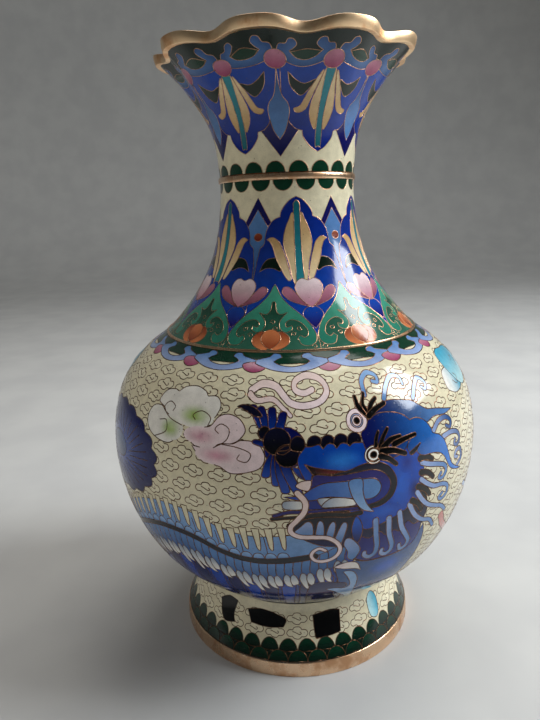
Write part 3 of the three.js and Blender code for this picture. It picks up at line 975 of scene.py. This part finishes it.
def dragon_head(pattern):
    """The head in profile, facing left: crest, mane, jaw, open mouth, eyes, beard and whiskers."""
    for path in ([(21, 116.5), (21.6, 120), (24.4, 121.9), (27, 120.9), (26.6, 119.2), (25, 119.6)],
                 [(26.6, 114.6), (28.6, 117.6), (32, 120), (35, 119.4), (35, 117.4)],
                 [(36.5, 113), (39, 116), (42, 117.9), (44, 116.2), (43, 114.4), (41.6, 115.2)]):
        swirl(pattern, path, ("sky", "sky pale", "up"), 1.6)
    for path in ([(44.6, 98.4), (48.6, 98.6), (52, 97.4), (53.2, 95), (51.6, 93.2), (49.8, 94), (50.4, 95.4)],
                 [(40.4, 101.2), (43.4, 103.8), (47, 104.2), (49.4, 102.4), (48.6, 100.4), (46.8, 101.4)],
                 [(51, 85.4), (53.8, 87.6), (53.2, 90.8), (50.8, 91.2), (49.8, 89.4), (51.4, 88.6)]):
        swirl(pattern, path, ("lavender", "denim", "across"), 1.9)
    crest = [(19.6, 109), (22.5, 111.2), (25.4, 112.9), (26.4, 113.8), (28.4, 114), (31, 113.6),
             (33.6, 113), (35.6, 112.4), (37.6, 110.8), (39.6, 109.2), (41, 108.6), (44, 108),
             (47.4, 107), (51.6, 105.8, 1), (47.4, 105.2), (42, 105.8), (36, 104), (26, 104)]
    pattern.shape(crest, ("navy", "sky", "across"))
    beard = [(-0.6, 79.6), (-0.2, 75), (6, 70), (13, 68), (15, 63), (19, 60.2), (24, 59.6), (29, 59.6),
             (33, 60.4), (35.8, 63), (37, 70), (38, 76), (34, 84), (18, 84)]
    pattern.shape(beard, ("navy", "black", "up"))
    violet = [(17.4, 71.4, 1), (19.6, 70.2), (22.4, 72), (24.6, 69.8), (27, 71), (29, 69.8), (31.2, 73),
              (33.8, 70.6), (36.6, 70.4), (36.6, 64.8), (34.6, 61), (30, 59.9), (24, 59.9), (19.4, 60.5),
              (16.4, 62.4), (15.4, 67)]
    pattern.shape(violet, ("cobalt deep", "violet", "up"), 4)
    for hump in (1.2, 5.4, 8.8, 12.1, 15.6):
        outline = [(-1.7, 102.8), (-1.6, 105.6), (-0.1, 106.7), (1.5, 105.9), (1.8, 104), (1.7, 102.2)]
        pattern.shape(outline, ("black", "midnight", "up"), 5, (hump, 0))
    jaw = [(1, 99.5), (3, 103.6, 1), (4.6, 103.6), (6.4, 104), (7.4, 102.7, 1), (8.6, 104), (10, 103.9),
           (10.8, 102.6, 1), (12, 103.8), (13.4, 103.7), (14.2, 102.8, 1), (15.4, 103.6), (18, 103.4),
           (24, 103), (30, 101.4), (34.4, 98.4), (35.4, 94), (35.6, 89), (34.4, 84.6), (32.4, 80.6),
           (29.4, 77.8), (24.4, 75.6), (18.8, 74), (16.4, 76), (14.6, 81), (8, 85), (3, 93)]
    pattern.shape(jaw, "cobalt", 6)
    glow(pattern, 12, 98.8, 6.4, 3.9, ("royal light", "cobalt"))
    glow(pattern, 27.8, 87, 4, 9.6, ("royal", "cobalt"))
    glow(pattern, 22.4, 79.6, 6, 2.6, ("royal", "cobalt"))
    glow(pattern, 32.4, 84.6, 2.2, 5, ("navy", "cobalt"))
    glow(pattern, 30, 94.6, 2.8, 3.6, ("cobalt deep", "cobalt"))
    tentacles = [
        ([(35, 92.8), (38, 91.3), (41.6, 90), (44.4, 88.4), (45, 86.2), (43.4, 84.4), (41.8, 85),
          (42.6, 86.4)], 1.9),
        ([(34.6, 87.2), (37, 84.8), (40, 82.7), (43.8, 81.8), (46.4, 80), (46.6, 77.2), (44.4, 75.8),
          (42.8, 77), (44.2, 78.2)], 1.9),
        ([(33.4, 83), (35.4, 79.6), (38, 76.6), (41.6, 74.4), (45, 72.6), (48, 69.6)], 2.0),
        ([(31, 79.4), (33.4, 74.6), (36.6, 71.2), (40.4, 69.2), (43, 65.6)], 2.0),
        ([(28, 77.4), (29.4, 71.4), (31.8, 66.8), (33.2, 63.8), (32.4, 61.4), (30.8, 61.2), (30, 63.4)], 2.1),
        ([(24.8, 76.4), (25.6, 70), (27.2, 65), (27.2, 62.2), (25.6, 61.1), (24.2, 62.2), (24.2, 63.6)], 2.1),
        ([(20.9, 76.8), (21.5, 71), (22.3, 66), (22, 62.8), (20.4, 61.8), (19, 62.9), (18.8, 64.2)], 2.1)]
    for path, wide in tentacles:
        swirl(pattern, path, ("lavender", "sky", "across"), wide, 0.75)
    for flame in ([(34.4, 94.4), (37, 94.2), (39, 92.8)], [(34.6, 89.6), (37.2, 88.6), (39.2, 86.4)],
                  [(33.6, 85), (36.4, 83), (38.2, 80.4)], [(31.8, 80.6), (34, 78.6), (35.7, 75.6)],
                  [(31.8, 97.5), (34.4, 98.6), (37, 97.6)]):
        pattern.cell(pattern.band(flame, 2.2, 5, tip=0.75), "black")
    mane = [(17.7, 104.4), (17.9, 107), (19.4, 109), (21.8, 110.4), (24.4, 111), (28.4, 110.4),
            (31.2, 109), (32.8, 107.2, 1), (35.4, 107.3), (38.2, 105.6), (40, 102.6), (40.4, 101.1),
            (43, 99.6), (45, 97), (46.3, 92.6), (47.4, 89), (49.2, 86.6), (54, 83.4, 1), (50, 84.6),
            (47, 86.6), (45.3, 89.6), (44, 92), (42, 93.8), (39, 94.7), (36, 95), (34, 96.2),
            (33.7, 97.6), (35.2, 99.4), (33, 98.4), (31, 97.4, 1), (30.5, 99.2), (31.6, 101.4), (29, 98),
            (24, 97), (19.6, 98.6)]
    pattern.shape(mane, ("navy", "royal light", "across"))
    rosy = [(0.4, 91.6), (2, 93.2), (5, 93.3), (8.4, 92.6), (6, 91), (3, 90)]
    pattern.shape(rosy, ("blush", "rose pale", "across"), 4)
    for lip in ([(2.6, 98.5, 1), (5, 97.3), (9, 96.2), (13, 95.2), (9, 94.9), (5, 95), (4, 96.2)],
                [(4.6, 95), (8, 95), (11, 93.9), (13.6, 92.4), (9, 92.7), (5, 93)]):
        pattern.shape(lip, ("black", "red", "across"), 4)
    gape = [(9.6, 94.7), (13.6, 95.5), (17, 96.7), (20.6, 97), (24, 95.2), (26.2, 91.4), (26.5, 88),
            (25.2, 84.4), (22.2, 82.1), (18.6, 81.9), (15, 83), (11, 92)]
    pattern.shape(gape, ("black", "midnight", "up"))
    throat = [(5, 94.9), (10, 94.3), (15, 94.5), (19.6, 94.7), (23, 92.9), (24.7, 89.6), (24, 86),
              (21.6, 83.9), (18.4, 83.2), (15, 83.4), (9, 83.6), (4, 83.6), (2, 86), (4, 91)]
    pattern.shape(throat, ("cobalt deep", "violet", "up"))
    tongue = [(-2.6, 88.2, 1), (1.6, 88.6), (4.4, 90.8), (7.6, 92.2), (12, 92.2), (17, 92.2),
              (20.4, 91.6), (22, 89.2), (21.4, 86.6), (19.4, 85.2), (16, 85.8), (12, 86.9), (8, 87.6),
              (4.6, 86.8), (1, 87)]
    pattern.shape(tongue, ("cobalt", "sky", "across"))
    for tooth in ([(-2.6, 86.6), (1, 86.8), (3, 86), (2.4, 84), (-2.4, 84)],
                  [(5.6, 87), (7.4, 87.4), (9.2, 86.8), (7, 84.4)],
                  [(9.2, 87.2), (14.4, 86), (15, 83.8), (10, 83.9), (6.6, 84.4)]):
        pattern.shape(tooth, ("grey", "white", "across"), 4)
    fang = [(13.6, 92.2), (16.9, 92.2), (17.1, 88), (18, 84), (20.2, 80.2, 1), (17, 81.8), (15, 85),
            (13.8, 88.6)]
    pattern.shape(fang, ("sky pale", "sky", "up"))
    for path, fill, wide in (
            ([(-5.6, 80.4), (-2, 80.9), (0.6, 81.1)], "black", 1.1),
            ([(-5, 81.6), (-1.4, 82.9), (2.6, 82.9), (9, 83.1), (15.6, 82.6)], "violet", 1.3),
            ([(1.6, 80.9), (5, 81.6), (9, 81.4), (13, 80.7), (16.6, 80.8)], "black", 1.7)):
        swirl(pattern, path, fill, wide, 0.9)
    back_rings = [(1, "rose pale"), (0.6, "lavender"), (0.46, "rose pale"), (0.28, "black")]
    eye(pattern, 17, 109.8, 2.9, 3.4, back_rings)
    front_rings = [(1, "white"), (0.8, "black"), (0.66, "white"), (0.36, "black")]
    eye(pattern, 20.4, 99.2, 2.5, 2.85, front_rings)
    for path, wide in (([(20.2, 111), (18.2, 113.6), (17.8, 116.2)], 1.5),
                       ([(20.8, 111.4), (19.6, 114), (20.7, 116.9)], 1.1),
                       ([(21, 111.4), (22, 113.6), (23.9, 115.2)], 1.3),
                       ([(20.6, 110.6), (23, 112.2), (26.2, 113.4)], 1.5),
                       ([(21.2, 101.6), (21.6, 104), (22.4, 105.8)], 1.0),
                       ([(22.4, 101.4), (23.6, 104), (25.2, 106.2)], 1.2),
                       ([(23.2, 100.8), (25.6, 102.6), (28.6, 103.1)], 1.7),
                       ([(26.6, 101.2), (30, 102), (33.6, 102.5)], 1.6),
                       ([(22.8, 99.6), (26, 99.3), (29.6, 97.5)], 1.9),
                       ([(22.4, 98.2), (24.6, 97), (26.6, 94.9)], 1.7)):
        pattern.cell(pattern.band(path, wide * 1.25, 5, tip=0.65), "black")
    for drop in ([(-0.2, 75.6), (1.4, 77.6), (3, 79.4), (4.3, 78.4), (4.5, 74.4), (2.6, 72.6), (0.4, 73.8)],
                 [(5.2, 73), (5.5, 78), (6.3, 79.5), (7.2, 77.8), (7.1, 73)],
                 [(7.8, 72.6), (8.4, 77), (9.5, 78.8), (10.2, 77), (9.4, 72)],
                 [(10, 71), (11.4, 76.6), (12.4, 78.1), (13.2, 76.6), (12.2, 71), (11.4, 69)]):
        pattern.shape(drop, ("sky", "lavender", "up"), 4)
    lens = [(14.4, 75.6), (15.4, 79.6), (17, 76.8), (17.4, 73), (16.3, 69), (14.9, 71.6)]
    pattern.shape(lens, ("navy", "royal", "up"), 4)
    flap = [(13.2, 71.6), (14.8, 71), (17, 67.6), (17.3, 65), (15.8, 62), (14, 63.2), (13.8, 66),
            (12.6, 69.2)]
    pattern.shape(flap, ("sky", "lavender", "up"), 4)
    leaf = [(10.6, 59.4), (14, 61), (17.2, 60), (19, 55.8, 1), (17, 57.2), (13.4, 58)]
    pattern.shape(leaf, ("rose pale", "white", "across"), 4)
    whisker = [(0.8, 89.4), (2.6, 86.4), (2.4, 83), (0.6, 80), (-1, 77.6), (-0.8, 75.2), (1.4, 73.7),
               (5, 73.3), (8.4, 72.6), (11, 70), (11.7, 67), (10.4, 64.2), (7.8, 62.9), (5.4, 63.4),
               (4.2, 65.4), (4.6, 67.4), (6.2, 68.6), (7.8, 67.6)]
    swirl(pattern, whisker, ("rose pale", "blush", "up"), 2.0, 0.6)


def dragon_chest(pattern):
    """The chest and foreleg, below the beard."""
    low = BELLY_BASE - 1
    chest = [(11, 59), (15, 61, 1), (24, 61), (34, 61, 1), (38, 69, 1), (39.4, 63), (39.6, 55), (38, 46),
             (38.6, 36), (43, low, 1), (20, low, 1), (16, 40)]
    pattern.shape(chest, "denim")
    glow(pattern, 28, 54, 8, 6, ("royal", "denim"))
    navy = [(4, 50), (13.6, 50.4), (16, 47.6), (12.4, 44.4), (14.6, 38), (18, 32), (22, low, 1),
            (4, low, 1)]
    pattern.shape(navy, ("midnight", "navy", "up"), 4)
    leg = [(13.8, 56.4), (16.6, 55.8), (18.5, 52.4), (19.3, 48), (19.6, 43), (21, 39), (25, 32),
           (30, low, 1), (27, low, 1), (21.4, 32), (17.4, 39), (14.5, 42.2), (12.4, 44.8), (9.2, 47.3, 1),
           (12.4, 47.2), (15.4, 46.2), (17, 47.4), (16.6, 50), (15.4, 53)]
    pattern.shape(leg, ("sky", "sky pale", "up"))


def belly_pattern():
    """The dragon among clouds on the lattice, with its claws, ribbons and the border above."""
    low, high = BELLY_BASE, SHOULDER - EDGE_GAP
    pattern = Pattern(wall, low, high, "cream")
    cloud_lattice(pattern, 27, 122.6, 5.2, 9.5)
    tuft(pattern, -62, 92, 22, 15.5)
    dragon_body(pattern)
    for turn, z in ((-27, 106.4), (128, 111), (-118, 100)):
        bicolour_cloud(pattern, turn, z)
    for turn, z in ((69, 115.4), (-160, 112), (120, 42), (-92, 116)):
        turquoise_cloud(pattern, turn, z)
    for turn, z in ((160, 106), (90, 92), (-135, 90)):
        path = [(-6, 0), (-3, 2), (0, 0.4), (3, -1.6), (6, -0.6), (6.2, 1.4), (4, 1.6)]
        swirl(pattern, [(turn + x, z + y) for x, y in path], ("rose pale", "white", "across"), 1.7)
    swirl(pattern, [(46.5, 68), (50, 62.4), (56, 57), (62, 52.6), (70, 48.6), (80, 47), (88, 50), (92, 55)],
          ("coral", "coral pale", "across"), 3.0, 0.4)
    swirl(pattern, [(60, 74), (66, 70), (74, 69), (80, 73), (78, 78), (74, 77)],
          ("sky", "sky pale", "up"), 2.0)
    swirl(pattern, [(56, 40), (64, 36), (74, 37), (80, 42), (77, 47), (73, 45)],
          ("turquoise", "sky pale", "up"), 2.2)
    dragon_chest(pattern)
    ring = [(-11.8, 119), (-8.6, 120.7), (-4.6, 120), (-2, 117.4), (0, 115.6), (3.6, 114.9), (8, 116),
            (10.2, 118.8), (8.6, 121.6), (4.6, 122.6), (1.2, 121.3), (1, 119.2), (3.4, 118.2), (6, 119)]
    swirl(pattern, ring, ("rose pale", "blush", "up"), 2.1, 0.8)
    swirl(pattern, [(-12, 118), (-9.6, 116.4), (-5.4, 116.8), (-2.4, 114.4), (-0.4, 112.4)],
          ("rose pale", "blush", "up"), 1.8, 0.7)
    claw(pattern, -1.6, 103)
    claw(pattern, -140, 44, -1)
    dragon_head(pattern)
    belly_border(pattern, high)
    return pattern


# ---- finishes: a small language for the shader's sums ---------------------------------------
class Sum:
    """A socket that can be added to, scaled and compared in plain expressions."""

    def __init__(self, look, socket):
        self.finish, self.socket = look, socket

    def apply(self, operation, *values):
        """The outcome of a maths node."""
        inputs = dict(enumerate(values))
        return self.finish.node("ShaderNodeMath", {"operation": operation}, inputs)

    def __add__(self, other):
        return self.apply("ADD", self, other)

    def __sub__(self, other):
        return self.apply("SUBTRACT", self, other)

    def __rsub__(self, other):
        return self.apply("SUBTRACT", other, self)

    def __mul__(self, other):
        return self.apply("MULTIPLY", self, other)

    def __gt__(self, other):
        return self.apply("GREATER_THAN", self, other)

    __radd__, __rmul__ = __add__, __mul__


class Finish:
    """A material built round one Principled shader."""

    def __init__(self, name, **numbers):
        self.material = bpy.data.materials.new(name)
        self.material.use_nodes = True
        self.tree = self.material.node_tree
        self.shader = self.tree.nodes["Principled BSDF"]
        for socket, value in numbers.items():
            self.shader.inputs[socket.replace("_", " ")].default_value = value

    def node(self, kind, settings=None, inputs=None, output=0):
        """Adds a node and gives back one of its outputs; stops are a colour ramp's."""
        node = self.tree.nodes.new(kind)
        for key, value in (settings or {}).items():
            if key == "stops":
                for stop, (place, colour) in zip(node.color_ramp.elements, value):
                    stop.position, stop.color = place, colour
            else:
                setattr(node, key, value)
        for key, value in (inputs or {}).items():
            self.feed(node.inputs[key], value)
        return Sum(self, node.outputs[output])

    def feed(self, socket, value):
        """Links a sum to a socket, or sets the socket's value."""
        if isinstance(value, Sum):
            self.tree.links.new(value.socket, socket)
        else:
            socket.default_value = value

    def set(self, **values):
        """Feeds the shader's own sockets."""
        for socket, value in values.items():
            self.feed(self.shader.inputs[socket.replace("_", " ")], value)

    def place(self):
        """Object coordinates in millimetres."""
        here = self.node("ShaderNodeTexCoord", output="Object")
        return self.node("ShaderNodeMapping", {}, {"Vector": here, "Scale": (1 / MM, 1 / MM, 1 / MM)})

    def noise(self, scale, detail=3.0, rough=0.5, vector=None):
        """Noise whose scale is in patches to the millimetre."""
        return self.node("ShaderNodeTexNoise", {}, {
            "Vector": vector or self.place(), "Scale": scale, "Detail": detail, "Roughness": rough})

    def ramp(self, value, low, high):
        """0 below low, 1 above high, smooth between."""
        return self.node("ShaderNodeMapRange", {"interpolation_type": "SMOOTHSTEP"}, {
            "Value": value, "From Min": low, "From Max": high})

    def mix(self, share, first, second, blend="MIX"):
        """A colour between two, or one blended over the other."""
        return self.node("ShaderNodeMix", {"data_type": "RGBA", "blend_type": blend}, {
            0: share, 6: first, 7: second}, 2)

    def bump(self, height, strength, distance=0.0001):
        """A normal tilted by a height; distance is in metres."""
        return self.node("ShaderNodeBump", {}, {
            "Strength": strength, "Distance": distance, "Height": height})

    def round_the_vase(self, along, up):
        """A place given by the way round the vase and the height, for marks left by turning."""
        here = self.node("ShaderNodeTexCoord", output="Object")
        parts = [self.node("ShaderNodeSeparateXYZ", {}, {0: here}, axis) for axis in range(3)]
        turn = parts[0].apply("ARCTAN2", parts[0], parts[1])
        return self.node("ShaderNodeCombineXYZ", {}, {0: turn * along, 1: parts[2] * up})


def rgba(code):
    """A colour's linear red, green, blue and alpha from its six digits."""
    return (*linear(code), 1.0)


def enamel_finish(name, colour=None, pits=1.0, rough=0.12):
    """Fired glass: mottled colour, pinholes, fine grinding marks and a faint orange-peel skin."""
    look = Finish(name, Roughness=rough, Coat_Weight=0.15, Coat_Roughness=0.05,
                     Specular_IOR_Level=0.35)
    base = colour or look.node("ShaderNodeVertexColor", {"layer_name": "enamel"})
    cloudy = look.noise(0.35, 4)
    grain = look.noise(3.2, 4, 0.65)
    shade = look.ramp(cloudy, 0.3, 0.7) * 0.14 + look.ramp(grain, 0.25, 0.75) * 0.16 + 0.8
    grey = look.node("ShaderNodeCombineColor", {}, {0: shade, 1: shade, 2: shade})
    tinted = look.mix(1.0, base, grey, "MULTIPLY")
    cells = look.node("ShaderNodeTexVoronoi", {}, {"Vector": look.place(), "Scale": 0.55})
    sparse = look.noise(0.4, 2) > 0.5
    pit = (1 - look.ramp(cells, 0.05, 0.13)) * sparse * pits
    worn = look.mix(pit * 0.75, tinted, rgba("3a3226"))
    scuff = look.ramp(look.noise(1.3, 5, 0.7), 0.5, 0.72)
    skin = look.noise(0.9, 2) * 0.6 + grain * 0.12 - pit * 2.0
    look.set(Base_Color=worn, Roughness=scuff * 0.12 + pit * 0.4 + rough,
                Normal=look.bump(skin, 0.22))
    return look.material


def gilt_finish(name, bright, dark, rough):
    """Gilt copper, brushed round the vase, with fine nicks and duller patches."""
    look = Finish(name, Metallic=1.0, Roughness=rough)
    brushed = look.noise(1.0, 6, 0.7, look.round_the_vase(14, 9000))
    patches = look.noise(0.12, 4, 0.6)
    dull = look.ramp(patches, 0.42, 0.68)
    nicks = look.ramp(look.noise(1.6, 3, 0.7), 0.66, 0.74)
    warm = look.mix(dull, rgba(bright), rgba(dark))
    colour = look.mix(nicks * 0.5, warm, rgba("85603f"))
    look.set(Base_Color=colour, Roughness=brushed * 0.16 + dull * 0.14 + nicks * 0.12 + rough,
                Normal=look.bump(brushed * 0.5 + look.noise(0.22, 2) * 3 - nicks, 0.25))
    return look.material


def wire_finish(name, bright, dark):
    """Gilt wire with tarnished stretches."""
    look = Finish(name, Metallic=1.0, Roughness=0.32)
    tarnish = look.ramp(look.noise(0.5, 4, 0.65), 0.35, 0.7)
    colour = look.mix(tarnish, rgba(bright), rgba(dark))
    look.set(Base_Color=colour, Roughness=tarnish * 0.2 + 0.24)
    return look.material


def copper_finish():
    """Hammered copper under the coats, darkened in patches."""
    look = Finish("raised copper", Metallic=1.0, Roughness=0.4)
    hammered = look.node("ShaderNodeTexVoronoi", {"feature": "SMOOTH_F1"}, {
        "Vector": look.place(), "Scale": 0.16})
    scaled = look.ramp(look.noise(0.3, 5, 0.6), 0.4, 0.65)
    look.set(Base_Color=look.mix(scaled, rgba("b5694a"), rgba("5c2f22")),
                Roughness=scaled * 0.3 + 0.3, Normal=look.bump(hammered, 0.4, 0.0004))
    return look.material


def backdrop_finish():
    """Matt paper, faintly uneven."""
    look = Finish("pale paper", Roughness=0.85)
    tone = look.ramp(look.noise(0.02, 3), 0.3, 0.7)
    look.set(Base_Color=look.mix(tone, rgba("b9b9b8"), rgba("c1c1bf")))
    return look.material


# ---- the studio -----------------------------------------------------------------------------
def studio():
    """A pale sweep, soft light from the right, a weak fill from the left and a dim room."""
    bpy.ops.object.select_all(action="DESELECT")
    bpy.ops.mesh.primitive_plane_add(size=6, location=(0, -1.8, 0))
    floor = bpy.context.object
    floor.name = "floor"
    bpy.ops.object.mode_set(mode="EDIT")
    mesh = bmesh.from_edit_mesh(floor.data)
    for edge in mesh.edges:
        edge.select = all(vertex.co.y > 0 for vertex in edge.verts)
    bmesh.update_edit_mesh(floor.data)
    for back, rise in ((0.1, 0), (0.1, 0), (0.3, 0.02), (0.3, 0.3), (0.05, 2.5)):
        bpy.ops.mesh.extrude_region_move(TRANSFORM_OT_translate={"value": (0, back, rise)})
    bpy.ops.object.mode_set(mode="OBJECT")
    soften = floor.modifiers.new("sweep", "SUBSURF")
    soften.levels = soften.render_levels = 3
    bpy.ops.object.modifier_apply(modifier=soften.name)
    bpy.ops.object.shade_smooth()
    floor.data.materials.append(backdrop_finish())

    def lamp(name, place, aim, size, power, colour):
        """A rectangular lamp, its place, aim and size in metres and its power in watts."""
        bpy.ops.object.light_add(type="AREA", location=place)
        light = bpy.context.object
        light.name = name
        light.data.shape = "RECTANGLE"
        light.data.size, light.data.size_y = size
        light.data.energy = power
        light.data.color = colour
        light.rotation_euler = (Vector(aim) - Vector(place)).to_track_quat("-Z", "Y").to_euler()
        return light

    lamp("window", (0.85, 0.0, 0.7), (0, 0, 0.12), (0.5, 0.55), 14, (0.93, 0.97, 1.0))
    fill = lamp("fill", (-1.1, -0.6, 0.8), (0, 0, 0.12), (1.6, 1.2), 5.4, (1.0, 0.95, 0.88))
    fill.visible_glossy = False  # it lights the shadows without a reflection of its own
    lamp("top", (0.1, 0.25, 0.9), (0, 0, 0.1), (0.6, 0.6), 4, (1.0, 0.98, 0.95))
    world = bpy.data.worlds.new("soft room")
    bpy.context.scene.world = world
    world.use_nodes = True
    world.node_tree.nodes["Background"].inputs["Color"].default_value = (0.86, 0.88, 0.92, 1)
    world.node_tree.nodes["Background"].inputs["Strength"].default_value = 0.17
    bpy.context.scene.view_settings.view_transform = "Standard"


CAMERA_PLACE = (0, -240.4, 174.5)
CAMERA_PITCH = 14.29  # degrees down
CAMERA_ROLL = -1.88
CAMERA_YAW = -2.07
CAMERA_LENS = 29.73


def camera():
    """A camera in front of the vase, as high as its neck, that looks down with a slight roll."""
    pitch, roll, yaw = (math.radians(angle) for angle in (CAMERA_PITCH, CAMERA_ROLL, CAMERA_YAW))
    right = Vector((math.cos(yaw), -math.sin(yaw), 0))
    ahead = Vector((math.sin(yaw) * math.cos(pitch), math.cos(yaw) * math.cos(pitch), -math.sin(pitch)))
    above = right.cross(ahead)
    across = right * math.cos(roll) + above * math.sin(roll)
    upward = above * math.cos(roll) - right * math.sin(roll)
    bpy.ops.object.camera_add()
    view = bpy.context.object
    view.name = "camera"
    view.matrix_world = Matrix((across, upward, -ahead)).transposed().to_4x4()
    view.location = Vector(CAMERA_PLACE) * MM
    view.data.lens = CAMERA_LENS
    view.data.clip_start = 0.01
    bpy.context.scene.camera = view


# ---- the vase -------------------------------------------------------------------------------
gilt = gilt_finish("gilt copper", "efcaa6", "cf9f78", 0.16)
# The rim's gilt is a brighter copy of the gilt above: painted light for the light the rim catches; its
# greater roughness is the rim's satin polish.
lit_rim_gilt = gilt_finish("satin rim gilt with painted light", "ffdcb0", "e6b07e", 0.3)
copper = copper_finish()
bright_wire = wire_finish("bright cloison wire", "d2a684", "8c664c")
# The belly and foot wires are a darker copy of the same gilt wire: painted shade for wires that reflect the
# dark room, over the tarnish that both copies have.
shaded_wire = wire_finish("shaded cloison wire", "7a5640", "402d22")
cells_finish = enamel_finish("cloison enamel")
counter = enamel_finish("counter enamel", rgba("2a86a8"), 1.6, 0.2)

coats = [("mouth", mouth_pattern, bright_wire, 0.42), ("neck", neck_pattern, bright_wire, 0.42),
         ("belly", belly_pattern, shaded_wire, 0.58), ("foot", foot_pattern, shaded_wire, 0.52)]
for zone, motif, wire, wide in coats:
    pattern = motif()
    solved = pattern.solve()
    sides = halves(solved) if zone == "belly" else {zone: solved}
    for side, part in sides.items():
        coat = enamel_coat(f"{side}_enamel_coat", pattern, part)
        finish(coat, [f"{zone}_enamel"], cells_finish)
        wires = cloison_wires(f"{side}_wires", pattern, part, wide)
        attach(wires, "root")
        wires.data.materials.append(wire)

JOINTS = {"neck": (SHOULDER, NECK_BAND), "mouth": (NECK_BAND, RIM_LOW - LAP)}
for zone, (low, high) in JOINTS.items():
    lobed = zone == "mouth"
    shell = spin(f"{zone}_copper", layer(wall, low, high, COPPER_INSET, COPPER), 160, flutes=lobed)
    finish(shell, [f"{zone}_shell"], copper)
    within = layer(wall, low, high, LINING_INSET, LINING)
    lining = spin(f"{zone}_counter_enamel", within, 160, flutes=lobed)
    finish(lining, [f"{zone}_lining"], counter)

upper = spin("upper_belly_copper", layer(wall, SEAM + 2 * LAP, SHOULDER - LAP, COPPER_INSET, COPPER))
finish(upper, ["belly_upper_shell"], copper)
lower = spin("lower_belly_copper", dish(BELLY_BASE + 1, SEAM, COPPER_INSET, COPPER, FLOOR, 34))
finish(lower, ["belly_lower_shell"], copper)
bowl = dish(BELLY_BASE + 1.5, SHOULDER - LAP, LINING_INSET, LINING, FLOOR + COPPER + LAP, 32.6)
belly_inside = spin("belly_counter_enamel", bowl)
finish(belly_inside, ["belly_lining"], counter)

foot_copper = spin("foot_copper", layer(foot, FOOT_BAND_TOP + 1, 24.2, COPPER_INSET, COPPER))
finish(foot_copper, ["foot_shell"], copper)
foot_inside = spin("foot_counter_enamel", layer(foot, FOOT_BAND_TOP + 1.6, 23.8, LINING_INSET, LINING))
finish(foot_inside, ["foot_lining"], counter)
base_top = FLOOR - LAP
base_section = [(0, base_top - LINING), (36, base_top - LINING), (37, base_top), (0, base_top)]
base = spin("base_counter_enamel", base_section)
finish(base, ["base_enamel"], counter)

foot_section = [(45, 0), (49.4, 0), (49.3, 3), (48.9, FOOT_BAND_TOP), (45, FOOT_BAND_TOP)]
foot_ring = spin("gilt_foot_band", foot_section, 160, 0.3)
finish(foot_ring, ["foot_band"], gilt)
neck_low, neck_high = span("neck_band")
waist = wall.at(NECK_BAND)[0]
neck_section = [(waist - 0.8, neck_low), (waist + 0.45, neck_low), (waist + 0.6, NECK_BAND),
                (waist + 0.45, neck_high), (waist - 0.8, neck_high)]
neck_ring = spin("gilt_neck_band", neck_section, 128, 0.3)
finish(neck_ring, ["neck_band"], gilt)
wire_low, wire_high = span("shoulder_wire")
shoulder = wall.at(SHOULDER)[0]
shoulder_section = [(shoulder - 0.9, wire_low), (shoulder + 0.35, wire_low), (shoulder + 0.1, wire_high),
                    (shoulder - 0.9, wire_high)]
shoulder_ring = spin("gilt_shoulder_wire", shoulder_section, 160, 0.2)
finish(shoulder_ring, ["shoulder_wire"], gilt)
rim_inner = RIM_OUTER - RIM_WIDE
rim_top = RIM_LOW + RIM_TALL
rim_section = [(rim_inner, RIM_LOW), (RIM_OUTER - 0.45, RIM_LOW), (RIM_OUTER - 0.05, RIM_LOW + 1.6),
               (RIM_OUTER, rim_top), (rim_inner + 0.6, rim_top)]
rim_ring = spin("gilt_rim_band", rim_section, 192, 0.18, flutes=True)
finish(rim_ring, ["rim_band"], lit_rim_gilt)

studio()
camera()
